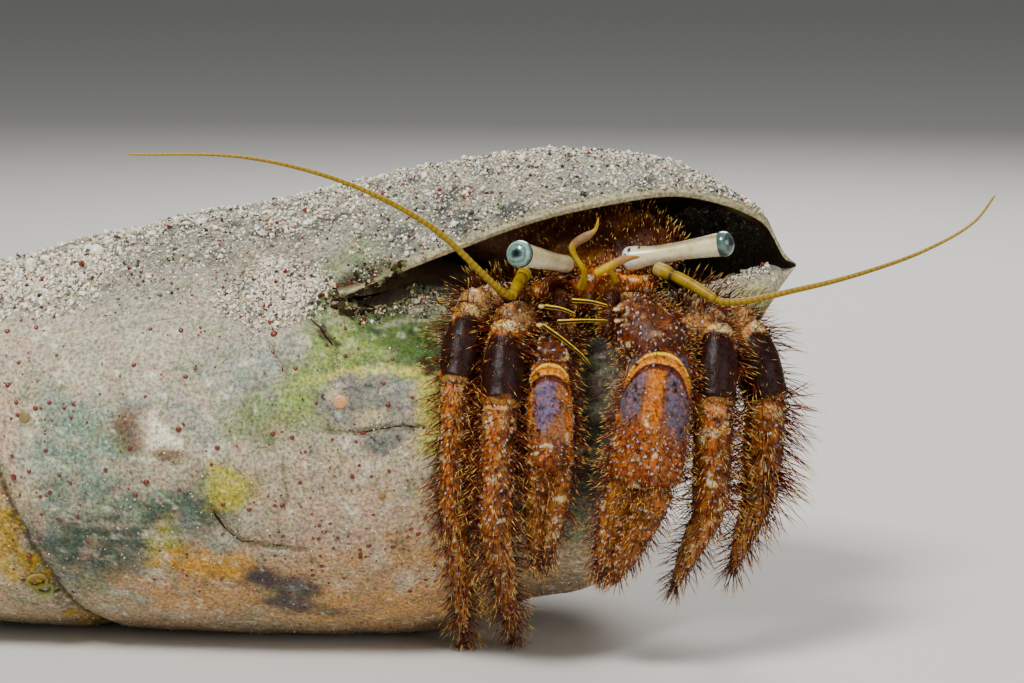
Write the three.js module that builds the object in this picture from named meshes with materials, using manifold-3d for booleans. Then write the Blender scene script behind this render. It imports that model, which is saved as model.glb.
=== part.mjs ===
// A hairy red hermit crab looking out of an old, overgrown gastropod shell, as a still life-size model.
//
// Millimetres, +Z up. The crab looks towards -Y, the apex of the shell points towards -X, and the floor
// is z = 0. Left and right are the crab's own, so its left legs lie at +X.
import * as THREE from "three";
import { mergeVertices } from "three/addons/utils/BufferGeometryUtils.js";
import Module from "manifold-3d";

const wasm = await Module();
wasm.setup();

// ---------------------------------------------------------------- driving dimensions
const CLEARANCE = 0.3; // left between neighbouring pieces
const FLOOR = 0;

const SHELL = {
  apexX: -109,
  apexZ: 12.9, // height of the apex above the floor
  rise: 5.7, // degrees by which the axis climbs from the apex to the mouth
  length: 140, // along the axis
  liftStart: 112, // where the axis starts to bend up towards the canal
  canalLift: 10.5, // of the axis, at the canal
  canalRake: 0.7, // how far the canal's underside slopes back for each millimetre under the axis
  mouthStart: 94.2, // where the outer lip leaves the whorl before it
  mouthAngle: 40, // degrees above the front, at the start of the lip
  lipTwist: 0.65, // degrees per millimetre by which the lip leans back towards the canal
  whorlRatio: 1.68, // growth of the spiral in one turn
  sutureDepth: 0.9,
  sutureWidth: 1.9, // at the mouth, as everywhere in proportion to the whorl
  bulge: 0.5,
  lipThickness: 1.1,
  wallThickness: 1.9,
  hollowTurns: 0.62, // how far the chamber goes in from the lip
  mouthInset: 1.7, // of the chamber from either end of the lip
  thinnestFloor: 0.35, // least radius under the mouth, as a share of the lip's
  tipRadius: 2.5, // of the worn apex
  tipLength: 8,
  // distance from the apex and how late in the turn the whorl draws in to the mouth's floor
  tightening: [
    [94.2, 8],
    [104, 2.6],
    [118, 2.4],
    [134, 1.1],
  ],
  // distance from the apex and height of the mouth there, from the whorl under it to the lip
  mouthHeight: [
    [94.2, 0],
    [95.8, 1.5],
    [101, 3],
    [106, 6.2],
    [112, 9.8],
    [120, 11.4],
    [130, 11.4],
    [137, 6],
    [140, 2],
  ],
  // distance from the apex and radius there
  profile: [
    [0, 0],
    [0.8, 1],
    [26, 9.1],
    [52, 17.2],
    [78, 21.3],
    [94, 22.8],
    [106, 24],
    [115, 24.3],
    [123, 21.7],
    [128, 18.7],
    [132, 14.7],
    [135, 10.9],
    [137.2, 7.2],
    [138.8, 2.2],
    [140, 0],
  ],
};

const EYESTALK = { base: 1.05, waist: 0.95, tip: 1.22, corneaLength: 1.7 };
const FEELER = { base: 0.48, tip: 0.26 };
const MIDDLE = { x: -31.3, y: -2.2 }; // of the whole model, which is put at x = y = 0

const FRONT = new THREE.Vector3(0, -1, 0);
const UP = new THREE.Vector3(0, 0, 1);

// ---------------------------------------------------------------- small helpers
const lerp = THREE.MathUtils.lerp;
const clamp01 = (t) => THREE.MathUtils.clamp(t, 0, 1);
const point = (p) => new THREE.Vector3(...p);
const steps = (from, to, count) =>
  Array.from({ length: count }, (_, i) => from + ((to - from) * i) / count);

// The value at x of a smooth curve through the table's [x, value] pairs.
function along(table, x) {
  const last = table.length - 2;
  let i = table.findIndex((row) => row[0] > x) - 1;
  i = i < 0 ? (x <= table[0][0] ? 0 : last) : i;
  const slope = (a, b) => (table[b][1] - table[a][1]) / (table[b][0] - table[a][0]);
  const width = table[i + 1][0] - table[i][0];
  const here = slope(i, i + 1);
  const before = i > 0 ? (slope(i - 1, i) + here) / 2 : here;
  const after = i < last ? (slope(i + 1, i + 2) + here) / 2 : here;
  const t = clamp01((x - table[i][0]) / width);
  const rise = table[i + 1][1] - table[i][1];
  const ease = t * t * (3 - 2 * t);
  const bend = t * (1 - t) * (before * (1 - t) - after * t) * width;
  return table[i][1] + rise * ease + bend;
}

// A closed surface of revolution, with each vertex then put where place(column, row) says.
// The first and the last row are points, so place gives one point for all their columns.
function movedLathe(columns, rows, place) {
  const outline = Array.from(
    { length: rows },
    (_, j) => new THREE.Vector2(Math.sin((Math.PI * j) / (rows - 1)), j),
  );
  const geometry = new THREE.LatheGeometry(outline, columns);
  const position = geometry.getAttribute("position");
  for (let column = 0; column <= columns; column++) {
    for (let row = 0; row < rows; row++) {
      const p = place(column % columns, row);
      position.setXYZ(column * rows + row, p.x, p.y, p.z);
    }
  }
  return geometry;
}

// The closed solid of a geometry, facing out.
function solidOf(geometry) {
  const bare = new THREE.BufferGeometry();
  bare.setAttribute("position", geometry.getAttribute("position"));
  bare.setIndex(geometry.getIndex());
  const merged = mergeVertices(bare, 1e-4);
  const index = merged.getIndex().array;
  const corners = [];
  for (let i = 0; i < index.length; i += 3) {
    const [a, b, c] = index.slice(i, i + 3);
    if (a !== b && b !== c && c !== a) corners.push(a, b, c);
  }
  const build = (triVerts) =>
    new wasm.Manifold(
      new wasm.Mesh({
        numProp: 3,
        vertProperties: Float32Array.from(merged.getAttribute("position").array),
        triVerts: Uint32Array.from(triVerts),
      }),
    );
  const solid = build(corners);
  return solid.volume() > 0 ? solid : build(corners.reverse());
}

// The part of a solid on the far side of a plane, measured along its normal.
const keepBeyond = (solid, normal, at) =>
  solid.trimByPlane(normal.toArray(), normal.dot(at) + CLEARANCE / 2);

const keepBefore = (solid, normal, at) =>
  keepBeyond(solid, normal.clone().negate(), at);

const aboveFloor = (solid) => solid.trimByPlane([0, 0, 1], FLOOR);

// ---------------------------------------------------------------- the shell
const rise = THREE.MathUtils.degToRad(SHELL.rise);
const APEX = new THREE.Vector3(SHELL.apexX, 0, SHELL.apexZ);
const AXIS = new THREE.Vector3(Math.cos(rise), 0, Math.sin(rise));
const ACROSS = new THREE.Vector3(-Math.sin(rise), 0, Math.cos(rise));

// Angle of the lip above the front, in radians, at a distance along the axis.
const lipAngle = (s) =>
  THREE.MathUtils.degToRad(
    SHELL.mouthAngle + SHELL.lipTwist * Math.max(0, s - SHELL.mouthStart),
  );

// A point of the shell at a distance along its axis, a number of turns back from the lip, and a radius.
function inShell(s, turns, radius) {
  const angle = lipAngle(s * SHELL.whorlRatio ** turns) + turns * 2 * Math.PI;
  return onShell(s, angle, radius);
}

function onShell(s, angle, radius) {
  const bend = clamp01((s - SHELL.liftStart) / (SHELL.length - SHELL.liftStart)) ** 2;
  const under = Math.max(0, -radius * Math.sin(angle));
  return APEX.clone()
    .addScaledVector(AXIS, s - SHELL.canalRake * bend * under)
    .addScaledVector(FRONT, radius * Math.cos(angle))
    .addScaledVector(ACROSS, radius * Math.sin(angle) + SHELL.canalLift * bend);
}

const lipRadius = (s) => along(SHELL.profile, s);

const floorRadius = (s) =>
  s <= SHELL.mouthStart
    ? lipRadius(s)
    : Math.max(lipRadius(s) - along(SHELL.mouthHeight, s), SHELL.thinnestFloor * lipRadius(s));

// Radius of the outside, where turns counts back from the lip, from 0 to 1.
function outerRadius(s, turns) {
  const plain = lerp(lipRadius(s), floorRadius(s), turns ** along(SHELL.tightening, s));
  if (s < 1) return plain;
  const whorl = Math.log(SHELL.mouthStart / s) / Math.log(SHELL.whorlRatio) - turns;
  const size = Math.min(1, s / SHELL.mouthStart);
  const bulge = whorl >= -1 ? Math.sin(Math.PI * (whorl - Math.floor(whorl))) : 0;
  const suture = Math.max(0, Math.round(whorl));
  const away = Math.abs(whorl - suture) * s * Math.log(SHELL.whorlRatio);
  const worn = suture === 0 ? clamp01(turns * 1.4) ** 2 : 1;
  const groove = Math.exp(-((away / (SHELL.sutureWidth * size)) ** 2)) * worn;
  return plain + size * (SHELL.bulge * bulge - SHELL.sutureDepth * groove);
}

// The whole outside, grown by a margin. Its one step, from lip to mouth floor, closes the ring.
function shellOutside(margin) {
  const rows = [
    ...[0, 0.8, 10],
    ...steps(18, SHELL.mouthStart, 16),
    ...steps(SHELL.mouthStart, 132, 9),
    ...[132, 134.6, 136.8, 138.4, 139.5, SHELL.length],
  ];
  const columns = 27;
  return solidOf(
    movedLathe(columns, rows.length, (column, row) => {
      const s = rows[row];
      const end = row === 0 || row === rows.length - 1;
      const turns = end ? 0 : column / (columns - 1);
      const push = row === 0 ? -margin : row === rows.length - 1 ? margin : 0;
      const blunt = SHELL.tipRadius * clamp01(s / SHELL.tipLength);
      const radius = end ? 0 : Math.max(outerRadius(s, turns), blunt) + margin;
      return onShell(s + push, lipAngle(s) + turns * 2 * Math.PI, radius);
    }),
  );
}

// Middle radius and half height of the chamber, in turns back from the lip.
function chamber(mouthS, turns) {
  const shrink = SHELL.whorlRatio ** -turns;
  const s = mouthS * shrink;
  const wall = lerp(SHELL.lipThickness, SHELL.wallThickness, clamp01(turns * 6));
  const sill = lerp(0.5, -0.2, clamp01((turns - MOUTH_FRONT) / 0.05));
  const low = (floorRadius(mouthS) + sill) * (turns > 0 ? shrink : 1);
  const high = outerRadius(s, Math.max(0, turns)) - wall;
  const narrow = 1 - clamp01((turns / SHELL.hollowTurns) ** 4) * 0.8;
  const middle = (low + high) / 2;
  return { s, middle, half: Math.max(((high - low) / 2) * narrow, 0.05) };
}

// The hollow that the crab lives in, shrunk by a margin. It starts a little in front of the lip.
const MOUTH_FRONT = -0.035;

function shellChamber(margin) {
  const columns = 16;
  const rows = [MOUTH_FRONT, 0.012, ...steps(0.06, SHELL.hollowTurns, 6), SHELL.hollowTurns];
  const first = SHELL.mouthStart + SHELL.mouthInset + margin;
  const last = SHELL.length - SHELL.mouthInset - margin;
  const loop = (row, column) => {
    const turns = rows[row];
    const around = (2 * Math.PI * column) / columns;
    const mouthS = lerp(first, last, (1 - Math.cos(around)) / 2);
    const { s, middle, half } = chamber(mouthS, turns);
    const side = Math.sign(Math.sin(around)) * (Math.abs(Math.sin(around)) > 1e-9 ? 1 : 0);
    return inShell(s, turns, middle + side * Math.max(half - margin, 0.02));
  };
  const centre = (row) =>
    Array.from({ length: columns }, (_, c) => loop(row, c))
      .reduce((sum, p) => sum.add(p), new THREE.Vector3())
      .divideScalar(columns);
  return solidOf(
    movedLathe(columns, rows.length + 2, (column, row) => {
      if (row === 0) return centre(0);
      if (row === rows.length + 1) return centre(rows.length - 1);
      return loop(row - 1, column);
    }),
  );
}

// The chamber's facets turn as it shrinks, so it shrinks by more than the margin.
const shell = (margin) => aboveFloor(shellOutside(margin).subtract(shellChamber(1.7 * margin)));

// ---------------------------------------------------------------- the body in the shell
// Trunk sections by turns back from the lip: where each sits along the mouth, from its start to the canal, its
// half width along the axis and its half height. The head end is turned towards the canal.
const TRUNK = {
  start: -0.03,
  end: 0.5,
  middle: [
    [-0.03, 0.6],
    [0.05, 0.56],
    [0.13, 0.5],
    [0.22, 0.46],
  ],
  width: [
    [-0.03, 5.2],
    [0.03, 7.2],
    [0.11, 7.0],
    [0.2, 5.6],
    [0.36, 4.4],
    [0.5, 2.2],
  ],
  height: [
    [-0.03, 2.6],
    [0.03, 4.3],
    [0.11, 4.6],
    [0.2, 4.3],
    [0.36, 3.4],
    [0.5, 1.6],
  ],
};
const TRUNK_CUTS = {
  shield: [-0.2, 0.045],
  carapace_rear: [0.045, 0.125],
  abdomen_front: [0.125, 0.235],
  abdomen_middle: [0.235, 0.345],
  abdomen_tail: [0.345, 0.7],
};

const trunkPlace = (turns) => lerp(SHELL.mouthStart, SHELL.length, along(TRUNK.middle, turns));

function trunk(margin) {
  const columns = 12;
  const rows = steps(TRUNK.start, TRUNK.end, 11).concat(TRUNK.end);
  const section = (turns, around, swell) => {
    const { s, middle, half } = chamber(trunkPlace(turns), turns);
    const width = along(TRUNK.width, turns) + margin;
    const height = along(TRUNK.height, turns) + margin;
    const centre = middle - half + along(TRUNK.height, turns) + 0.7;
    return inShell(
      s + swell * width * Math.cos(around),
      turns,
      centre + swell * height * Math.sin(around),
    );
  };
  return solidOf(
    movedLathe(columns, rows.length + 2, (column, row) => {
      const ends = { 0: rows[0] - 0.012, [rows.length + 1]: TRUNK.end + 0.01 };
      if (row in ends) return section(ends[row], 0, 0);
      return section(rows[row - 1], (2 * Math.PI * column) / columns, 1);
    }),
  );
}

// Normal of the half-plane through the axis at some turns back from the lip, pointing further in.
function inwards(turns) {
  const angle = lipAngle(trunkPlace(turns)) + turns * 2 * Math.PI;
  return FRONT.clone()
    .multiplyScalar(-Math.sin(angle))
    .addScaledVector(ACROSS, Math.cos(angle));
}

function trunkPiece([from, to], margin) {
  let solid = trunk(margin);
  if (from > TRUNK.start) solid = keepBeyond(solid, inwards(from), APEX);
  if (to < TRUNK.end) solid = keepBefore(solid, inwards(to), APEX);
  return solid;
}

// ---------------------------------------------------------------- bars: limb segments, stalks and feelers
// A round-ended tapered bar. halves are its half widths from end to end, flat its depth over its width,
// bow the sideways push of its middle, and facing the direction its depth is measured along.
function bar({ from, to, halves, flat = 1, bow = [0, 0, 0], facing = FRONT, sides = 10 }, margin = 0) {
  const a = point(from);
  const b = point(to);
  const way = b.clone().sub(a).normalize();
  const across = new THREE.Vector3().crossVectors(way, facing).normalize();
  const deep = new THREE.Vector3().crossVectors(across, way).normalize();
  const taper = halves.map((half, i) => [i / (halves.length - 1), half]);
  const stations = [
    { t: 0, cap: -1, share: 0 },
    { t: 0, cap: -0.72, share: 0.7 },
    ...steps(0, 1, 4).map((t) => ({ t, cap: 0, share: 1 })),
    { t: 1, cap: 0, share: 1 },
    { t: 1, cap: 0.72, share: 0.7 },
    { t: 1, cap: 1, share: 0 },
  ];
  return solidOf(
    movedLathe(sides, stations.length, (column, row) => {
      const { t, cap, share } = stations[row];
      const half = along(taper, t) + margin;
      const around = (2 * Math.PI * column) / sides;
      return a
        .clone()
        .lerp(b, t)
        .addScaledVector(point(bow), 4 * t * (1 - t))
        .addScaledVector(way, cap * half)
        .addScaledVector(across, share * half * Math.cos(around))
        .addScaledVector(deep, share * half * flat * Math.sin(around));
    }),
  );
}

// A feeler that tapers along a smooth curve through its points.
function feeler(points, base, tip, rows, margin) {
  const sides = 6;
  const curve = new THREE.CatmullRomCurve3(points.map(point));
  return solidOf(
    movedLathe(sides, rows + 2, (column, row) => {
      const t = clamp01((row - 1) / (rows - 1));
      const way = curve.getTangentAt(t);
      const across = new THREE.Vector3().crossVectors(way, FRONT).normalize();
      const deep = new THREE.Vector3().crossVectors(across, way);
      const half = row === 0 || row > rows ? 0 : lerp(base, tip, t) + margin;
      const around = (2 * Math.PI * column) / sides;
      return curve
        .getPointAt(t)
        .addScaledVector(across, half * Math.cos(around))
        .addScaledVector(deep, half * Math.sin(around))
        .addScaledVector(way, row === 0 ? -0.1 : row > rows ? 0.1 : 0);
    }),
  );
}

// ---------------------------------------------------------------- the limbs
// Joints from the body outwards. halves holds, for each segment, its half widths with the bristles on it.
// walls are the upright planes that part neighbouring limbs: x at the floor and x at the height of the knees.
const KNEE_HEIGHT = 35;
const WALLS = {
  legs_right: [-4.9, -2.6],
  tips_right: [-2.2, -5.5],
  claw_right: [0.2, 1.2],
  claws: [4.6, 7.6],
  claw_left: [13.2, 18.8],
  legs_left: [20.4, 22.2],
};
const LIMBS = {
  claw_left: {
    joints: [
      [12.0, -12.5, 33.0],
      [11.0, -17.2, 35.6],
      [14.8, -21.0, 31.4],
      [13.2, -23.8, 19.4],
      [9.9, -21.6, 11.4],
    ],
    halves: [
      [2.2, 2.6],
      [2.6, 3.4, 3.3],
      [3.3, 3.9, 4.1],
      [4.1, 4.1, 3.2],
    ],
    flat: 0.85,
    between: ["claws", "claw_left"],
  },
  claw_right: {
    joints: [
      [6.0, -13.0, 31.6],
      [4.6, -17.0, 33.2],
      [3.5, -20.8, 30.2],
      [3.5, -23.2, 20.5],
      [2.9, -20.8, 12.0],
    ],
    halves: [
      [1.7, 1.9],
      [1.9, 2.3, 2.2],
      [2.2, 2.9, 3.0],
      [3.0, 3.0, 2.3],
    ],
    flat: 1.0,
    between: ["claw_right", "claws"],
  },
  leg_2_right: {
    joints: [
      [3.6, -12.5, 34.4],
      [-0.5, -19.4, 34.0],
      [-1.2, -23.4, 26.4],
      [-1.6, -23.2, 14.4],
      [0.2, -13.2, 1.3],
    ],
    halves: [
      [1.6, 2.0],
      [2.0, 2.5, 2.6],
      [2.6, 2.9, 3.0],
      [3.0, 3.7, 3.0],
    ],
    flat: 1.15,
    between: ["legs_right", "claw_right"],
    tipBetween: ["tips_right", null],
  },
  leg_3_right: {
    joints: [
      [1.8, -10.5, 35.6],
      [-4.4, -17.4, 35.4],
      [-5.4, -21.2, 28.2],
      [-5.7, -21.4, 16.0],
      [-4.8, -12.8, 1.3],
    ],
    halves: [
      [1.6, 2.0],
      [2.0, 3.2, 3.5],
      [3.5, 3.8, 3.7],
      [3.7, 3.9, 2.8],
    ],
    flat: 1.0,
    between: [null, "legs_right"],
    tipBetween: [null, "tips_right"],
  },
  leg_2_left: {
    joints: [
      [14.6, -11.5, 33.0],
      [20.2, -16.6, 33.0],
      [20.0, -20.0, 26.0],
      [19.6, -20.6, 15.8],
      [16.4, -17.0, 8.2],
    ],
    halves: [
      [1.8, 2.4],
      [2.4, 2.9, 3.0],
      [3.0, 3.4, 3.5],
      [3.5, 3.4, 2.2],
    ],
    flat: 1.1,
    between: ["claw_left", "legs_left"],
  },
  leg_3_left: {
    joints: [
      [17.4, -10.6, 35.4],
      [22.8, -12.2, 32.4],
      [24.4, -14.6, 25.6],
      [24.0, -14.2, 15.6],
      [22.2, -11.2, 8.8],
    ],
    halves: [
      [1.6, 2.2],
      [2.3, 3.3, 4.1],
      [4.1, 4.1, 3.6],
      [3.6, 3.1, 2.0],
    ],
    flat: 1.0,
    between: ["legs_left", null],
  },
};
const SEGMENTS = {
  claw: ["merus", "carpus", "palm", "fingers"],
  leg: ["merus", "carpus", "propodus", "dactyl"],
};
const kindOf = (limb) => limb.split("_")[0];

// The plane of a wall: a point of it, and its normal towards +X.
function wall(name) {
  const [low, high] = WALLS[name];
  return {
    at: new THREE.Vector3(low, 0, FLOOR),
    normal: new THREE.Vector3(KNEE_HEIGHT, 0, low - high).normalize(),
  };
}

// One segment of a limb, mitred at its joints and kept between its limb's walls.
function limbSegment(limb, i, margin) {
  const joints = limb.joints.map(point);
  const way = (k) => joints[k + 1].clone().sub(joints[k]).normalize();
  let solid = bar(
    {
      from: limb.joints[i],
      to: limb.joints[i + 1],
      halves: limb.halves[i],
      flat: limb.flat,
      sides: i === 0 ? 7 : 10,
    },
    margin,
  );
  if (i > 0) solid = keepBeyond(solid, way(i - 1).add(way(i)).normalize(), joints[i]);
  if (i < limb.halves.length - 1)
    solid = keepBefore(solid, way(i).add(way(i + 1)).normalize(), joints[i + 1]);
  const atTip = i === limb.halves.length - 1;
  const [lower, upper] = (atTip && limb.tipBetween) || limb.between;
  if (i > 0 && lower) {
    const { at, normal } = wall(lower);
    solid = keepBeyond(solid, normal, at);
  }
  if (i > 0 && upper) {
    const { at, normal } = wall(upper);
    solid = keepBefore(solid, normal, at);
  }
  return solid;
}

// ---------------------------------------------------------------- the head
const EYES = {
  right: { from: [5.6, -12.9, 39.1], to: [0.9, -20.6, 41.1] },
  left: { from: [10.9, -12.9, 39.6], to: [20.3, -15.9, 41.5] },
};
const ANTENNULES = {
  right: [
    [6.4, -15.8, 37.2],
    [6.9, -17.8, 39.4],
    [5.8, -18.8, 41.6],
    [8.0, -19.5, 43.4],
    [8.4, -19.7, 44.6],
  ],
  left: [
    [8.8, -15.8, 37.9],
    [7.6, -18.4, 38.9],
    [9.1, -19.2, 39.9],
    [10.6, -19.4, 40.5],
  ],
};
const PEDUNCLES = {
  right: { from: [1.3, -16.2, 38.8], elbow: [0.0, -20.4, 37.0] },
  left: { from: [13.9, -15.6, 39.2], elbow: [19.6, -19.7, 36.6] },
};
const FLAGELLA = {
  right: [
    [-0.5, -21.1, 37.3],
    [-7.8, -22.6, 44.1],
    [-15.5, -22.6, 48.1],
    [-25.1, -21.8, 50.5],
    [-36.6, -20.4, 50.7],
  ],
  left: [
    [20.4, -19.9, 36.4],
    [27.6, -20.2, 37.7],
    [33.6, -20.4, 39.3],
    [40.0, -20.4, 41.7],
    [44.3, -20.2, 44.3],
    [46.2, -20.0, 46.8],
  ],
};
const MAXILLIPEDS = {
  right: { from: [4.6, -15.4, 36.6], to: [4.9, -18.9, 32.6], halves: [1.1, 1.5, 1.1] },
  left: { from: [9.8, -15.4, 37.0], to: [9.2, -19.3, 32.9], halves: [1.1, 1.5, 1.1] },
};
const FACE = { from: [3.4, -13.2, 36.2], to: [12.6, -13.2, 37.0], halves: [2.3, 2.8, 2.3], sides: 8 };

const cornea = (eye) => {
  const way = point(eye.to).sub(point(eye.from)).normalize();
  return { normal: way, at: point(eye.to).addScaledVector(way, EYESTALK.tip - EYESTALK.corneaLength) };
};

function eyestalk(side, margin) {
  const halves = [EYESTALK.base, EYESTALK.waist, EYESTALK.waist * 1.1, EYESTALK.tip];
  return bar({ ...EYES[side], halves, sides: 12 }, margin);
}

// ---------------------------------------------------------------- materials
const material = (color, roughness) =>
  new THREE.MeshStandardMaterial({ color, roughness, metalness: 0 });
const MATERIALS = {
  shell: material(0xa89f92, 0.9),
  carapace: material(0x7a3a1c, 0.55),
  abdomen: material(0xb08468, 0.6),
  leg: material(0x8a4a22, 0.55),
  claw: material(0x8c5f4a, 0.55),
  eyestalk: material(0xe8e0cc, 0.35),
  cornea: material(0x3c5a5a, 0.12),
  feeler: material(0xb08a12, 0.4),
  mouthpart: material(0x6e2f18, 0.5),
};

// ---------------------------------------------------------------- the list of pieces
// Each piece is a name, a material and a function from margin to solid. Earlier pieces keep their whole form,
// and a later one gives way to them by the clearance.
const pieces = [["shell", "shell", shell]];

for (const side of ["right", "left"]) {
  const eye = EYES[side];
  const { normal, at } = cornea(eye);
  pieces.push([
    `cornea_${side}`,
    "cornea",
    (margin) => keepBeyond(eyestalk(side, margin), normal, at),
  ]);
  pieces.push([
    `eyestalk_${side}`,
    "eyestalk",
    (margin) => keepBefore(eyestalk(side, margin), normal, at),
  ]);
  const { from, elbow } = PEDUNCLES[side];
  pieces.push([
    `antenna_${side}_base`,
    "feeler",
    (margin) => bar({ from, to: elbow, halves: [0.75, 0.5, 0.5], sides: 8 }, margin),
  ]);
  const route = FLAGELLA[side];
  const half = Math.floor(route.length / 2);
  const cut = {
    at: point(route[half]),
    normal: point(route[half + 1]).sub(point(route[half - 1])).normalize(),
  };
  const whip = (margin) => feeler(route, FEELER.base, FEELER.tip, 17, margin);
  pieces.push([
    `antenna_${side}_whip`,
    "feeler",
    (margin) => keepBefore(whip(margin), cut.normal, cut.at),
  ]);
  pieces.push([
    `antenna_${side}_whip_tip`,
    "feeler",
    (margin) => keepBeyond(whip(margin), cut.normal, cut.at),
  ]);
  pieces.push([
    `antennule_${side}`,
    "feeler",
    (margin) => feeler(ANTENNULES[side], 0.42, 0.3, 9, margin),
  ]);
  pieces.push([
    `maxilliped_${side}`,
    "mouthpart",
    (margin) => bar({ ...MAXILLIPEDS[side], sides: 8 }, margin),
  ]);
}

for (const [name, limb] of Object.entries(LIMBS)) {
  SEGMENTS[kindOf(name)].slice(1).forEach((segment, i) => {
    pieces.push([
      `${name}_${segment}`,
      kindOf(name),
      (margin) => aboveFloor(limbSegment(limb, i + 1, margin)),
    ]);
  });
}
pieces.push(["face", "mouthpart", (margin) => bar(FACE, margin)]);
for (const [name, range] of Object.entries(TRUNK_CUTS)) {
  const kind = name.startsWith("abdomen") ? "abdomen" : "carapace";
  pieces.push([name, kind, (margin) => trunkPiece(range, margin)]);
}
for (const [name, limb] of Object.entries(LIMBS)) {
  pieces.push([`${name}_merus`, kindOf(name), (margin) => limbSegment(limb, 0, margin)]);
}

// The largest of a solid's separate bodies.
const largest = (solid) =>
  solid.decompose().reduce((a, b) => (b.volume() > a.volume() ? b : a));

function meshOf(name, solid, kind) {
  const mesh = solid.getMesh();
  const geometry = new THREE.BufferGeometry();
  geometry.setAttribute("position", new THREE.BufferAttribute(mesh.vertProperties, 3));
  geometry.setIndex(new THREE.BufferAttribute(mesh.triVerts, 1));
  geometry.computeVertexNormals();
  const made = new THREE.Mesh(geometry, MATERIALS[kind]);
  made.name = name;
  return made;
}

const crab = new THREE.Group();
crab.position.set(-MIDDLE.x, -MIDDLE.y, 0);
const grown = [];
for (const [name, kind, make] of pieces) {
  let solid = make(0);
  for (const other of grown) {
    if (solid.intersect(other).volume() > 0) solid = solid.subtract(other);
  }
  crab.add(meshOf(name, largest(solid), kind));
  grown.push(make(CLEARANCE));
}

export default crab;
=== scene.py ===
"""A hairy red hermit crab in an old, overgrown gastropod shell: its looks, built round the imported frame.

Sizes are millimetres in the frame's axes, and become metres where a mesh is made. The crab looks towards -Y,
the apex of the shell lies towards -X, and left and right are the crab's own. The limbs' joints, the trunk
and the middle of the face are found from the frame's nodes. Eyes, feelers and mouthparts are placed from the
face, and the shell repeats the spiral that the frame's shell is made from.
"""

import math

import bmesh
import bpy
import numpy as np
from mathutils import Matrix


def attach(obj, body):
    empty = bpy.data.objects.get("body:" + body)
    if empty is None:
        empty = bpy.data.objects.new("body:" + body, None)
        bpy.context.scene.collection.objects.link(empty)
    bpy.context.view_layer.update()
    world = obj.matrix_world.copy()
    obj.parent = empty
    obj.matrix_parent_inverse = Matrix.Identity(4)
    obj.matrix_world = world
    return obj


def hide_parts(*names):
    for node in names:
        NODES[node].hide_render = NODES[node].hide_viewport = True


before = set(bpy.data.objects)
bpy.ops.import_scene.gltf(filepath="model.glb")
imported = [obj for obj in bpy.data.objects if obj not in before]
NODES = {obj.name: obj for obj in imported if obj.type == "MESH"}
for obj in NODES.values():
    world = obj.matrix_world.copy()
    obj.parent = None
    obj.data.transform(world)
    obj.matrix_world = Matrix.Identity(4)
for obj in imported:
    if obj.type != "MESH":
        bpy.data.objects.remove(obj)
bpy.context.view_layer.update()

MM = 0.001
LOWEST = 0.02  # how near the floor grains, threads, bristles and limbs come, in millimetres
FRONT = np.array([0.0, -1.0, 0.0])
UP = np.array([0.0, 0.0, 1.0])

# ---------------------------------------------------------------- numbers, noise and colours


def random_for(name):
    """Chance that is seeded by a name."""
    return np.random.default_rng([ord(letter) for letter in name])


def unit(vectors):
    """Vectors made one long."""
    return vectors / np.maximum(np.linalg.norm(vectors, axis=-1, keepdims=True), 1e-9)


def fade(value, low, high):
    """A smooth step from 0 at low to 1 at high."""
    t = np.clip((np.asarray(value, float) - low) / (high - low), 0, 1)
    return t * t * (3 - 2 * t)


def mix(a, b, share):
    """The value that lies a share of the way from a to b."""
    return a + (b - a) * share


def along(table, x):
    """The value at x of a smooth curve through the table's (x, value) pairs."""
    knots, values = np.array(table, float).T
    x = np.asarray(x, float)
    last = len(knots) - 2
    i = np.clip(np.searchsorted(knots, x, side="right") - 1, 0, last)
    slopes = np.diff(values) / np.diff(knots)
    here = slopes[i]
    before = np.where(i > 0, (slopes[np.maximum(i - 1, 0)] + here) / 2, here)
    after = np.where(i < last, (slopes[np.minimum(i + 1, last)] + here) / 2, here)
    width = knots[i + 1] - knots[i]
    t = np.clip((x - knots[i]) / width, 0, 1)
    ease = t * t * (3 - 2 * t)
    bend = t * (1 - t) * (before * (1 - t) - after * t) * width
    return values[i] + (values[i + 1] - values[i]) * ease + bend


def noise(points, size, seed):
    """Smooth noise from -1 to 1, in lumps of a size in millimetres."""
    cell = np.asarray(points, float) / size + 37.7 * seed + 500
    base = np.floor(cell).astype(np.int64)
    t = cell - base
    t = t * t * (3 - 2 * t)
    total = 0
    for corner in np.ndindex(2, 2, 2):
        mixed = ((base + corner) * (73856093, 19349663, 83492791)).sum(-1)
        mixed = ((mixed ^ (mixed >> 13)) * 1274126177) & 0xFFFFFFFF
        mixed = ((mixed ^ (mixed >> 15)) * 2246822519) & 0xFFFFFFFF
        value = ((mixed ^ (mixed >> 16)) & 0xFFFF) / 32767.5 - 1
        total = total + value * np.prod(np.where(corner, t, 1 - t), axis=-1)
    return total


def cloud(points, size, octaves, seed):
    """Noise with finer noise on it, from about -1 to 1."""
    layers = [noise(points, size / 2**k, seed + k) / 1.6**k for k in range(octaves)]
    return sum(layers) / sum(0.75 / 1.6**k for k in range(octaves))


def colour(code):
    """Linear red, green and blue of a six-digit hex colour."""
    share = np.array([int(code[i : i + 2], 16) for i in (0, 2, 4)]) / 255
    return np.where(share <= 0.04045, share / 12.92, ((share + 0.055) / 1.055) ** 2.4)


def blend(tint, code, share):
    """A tint for each point, moved towards a colour by a share for each point."""
    return mix(tint, colour(code), np.asarray(share)[..., None])


def layered(tint, layers):
    """A tint with layers of (colour, share) laid over it in turn."""
    for code, share in layers:
        tint = blend(tint, code, share)
    return tint


def one_colour(code, points):
    """A tint of one colour for each of some points."""
    return np.broadcast_to(colour(code), points.shape).copy()


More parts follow.
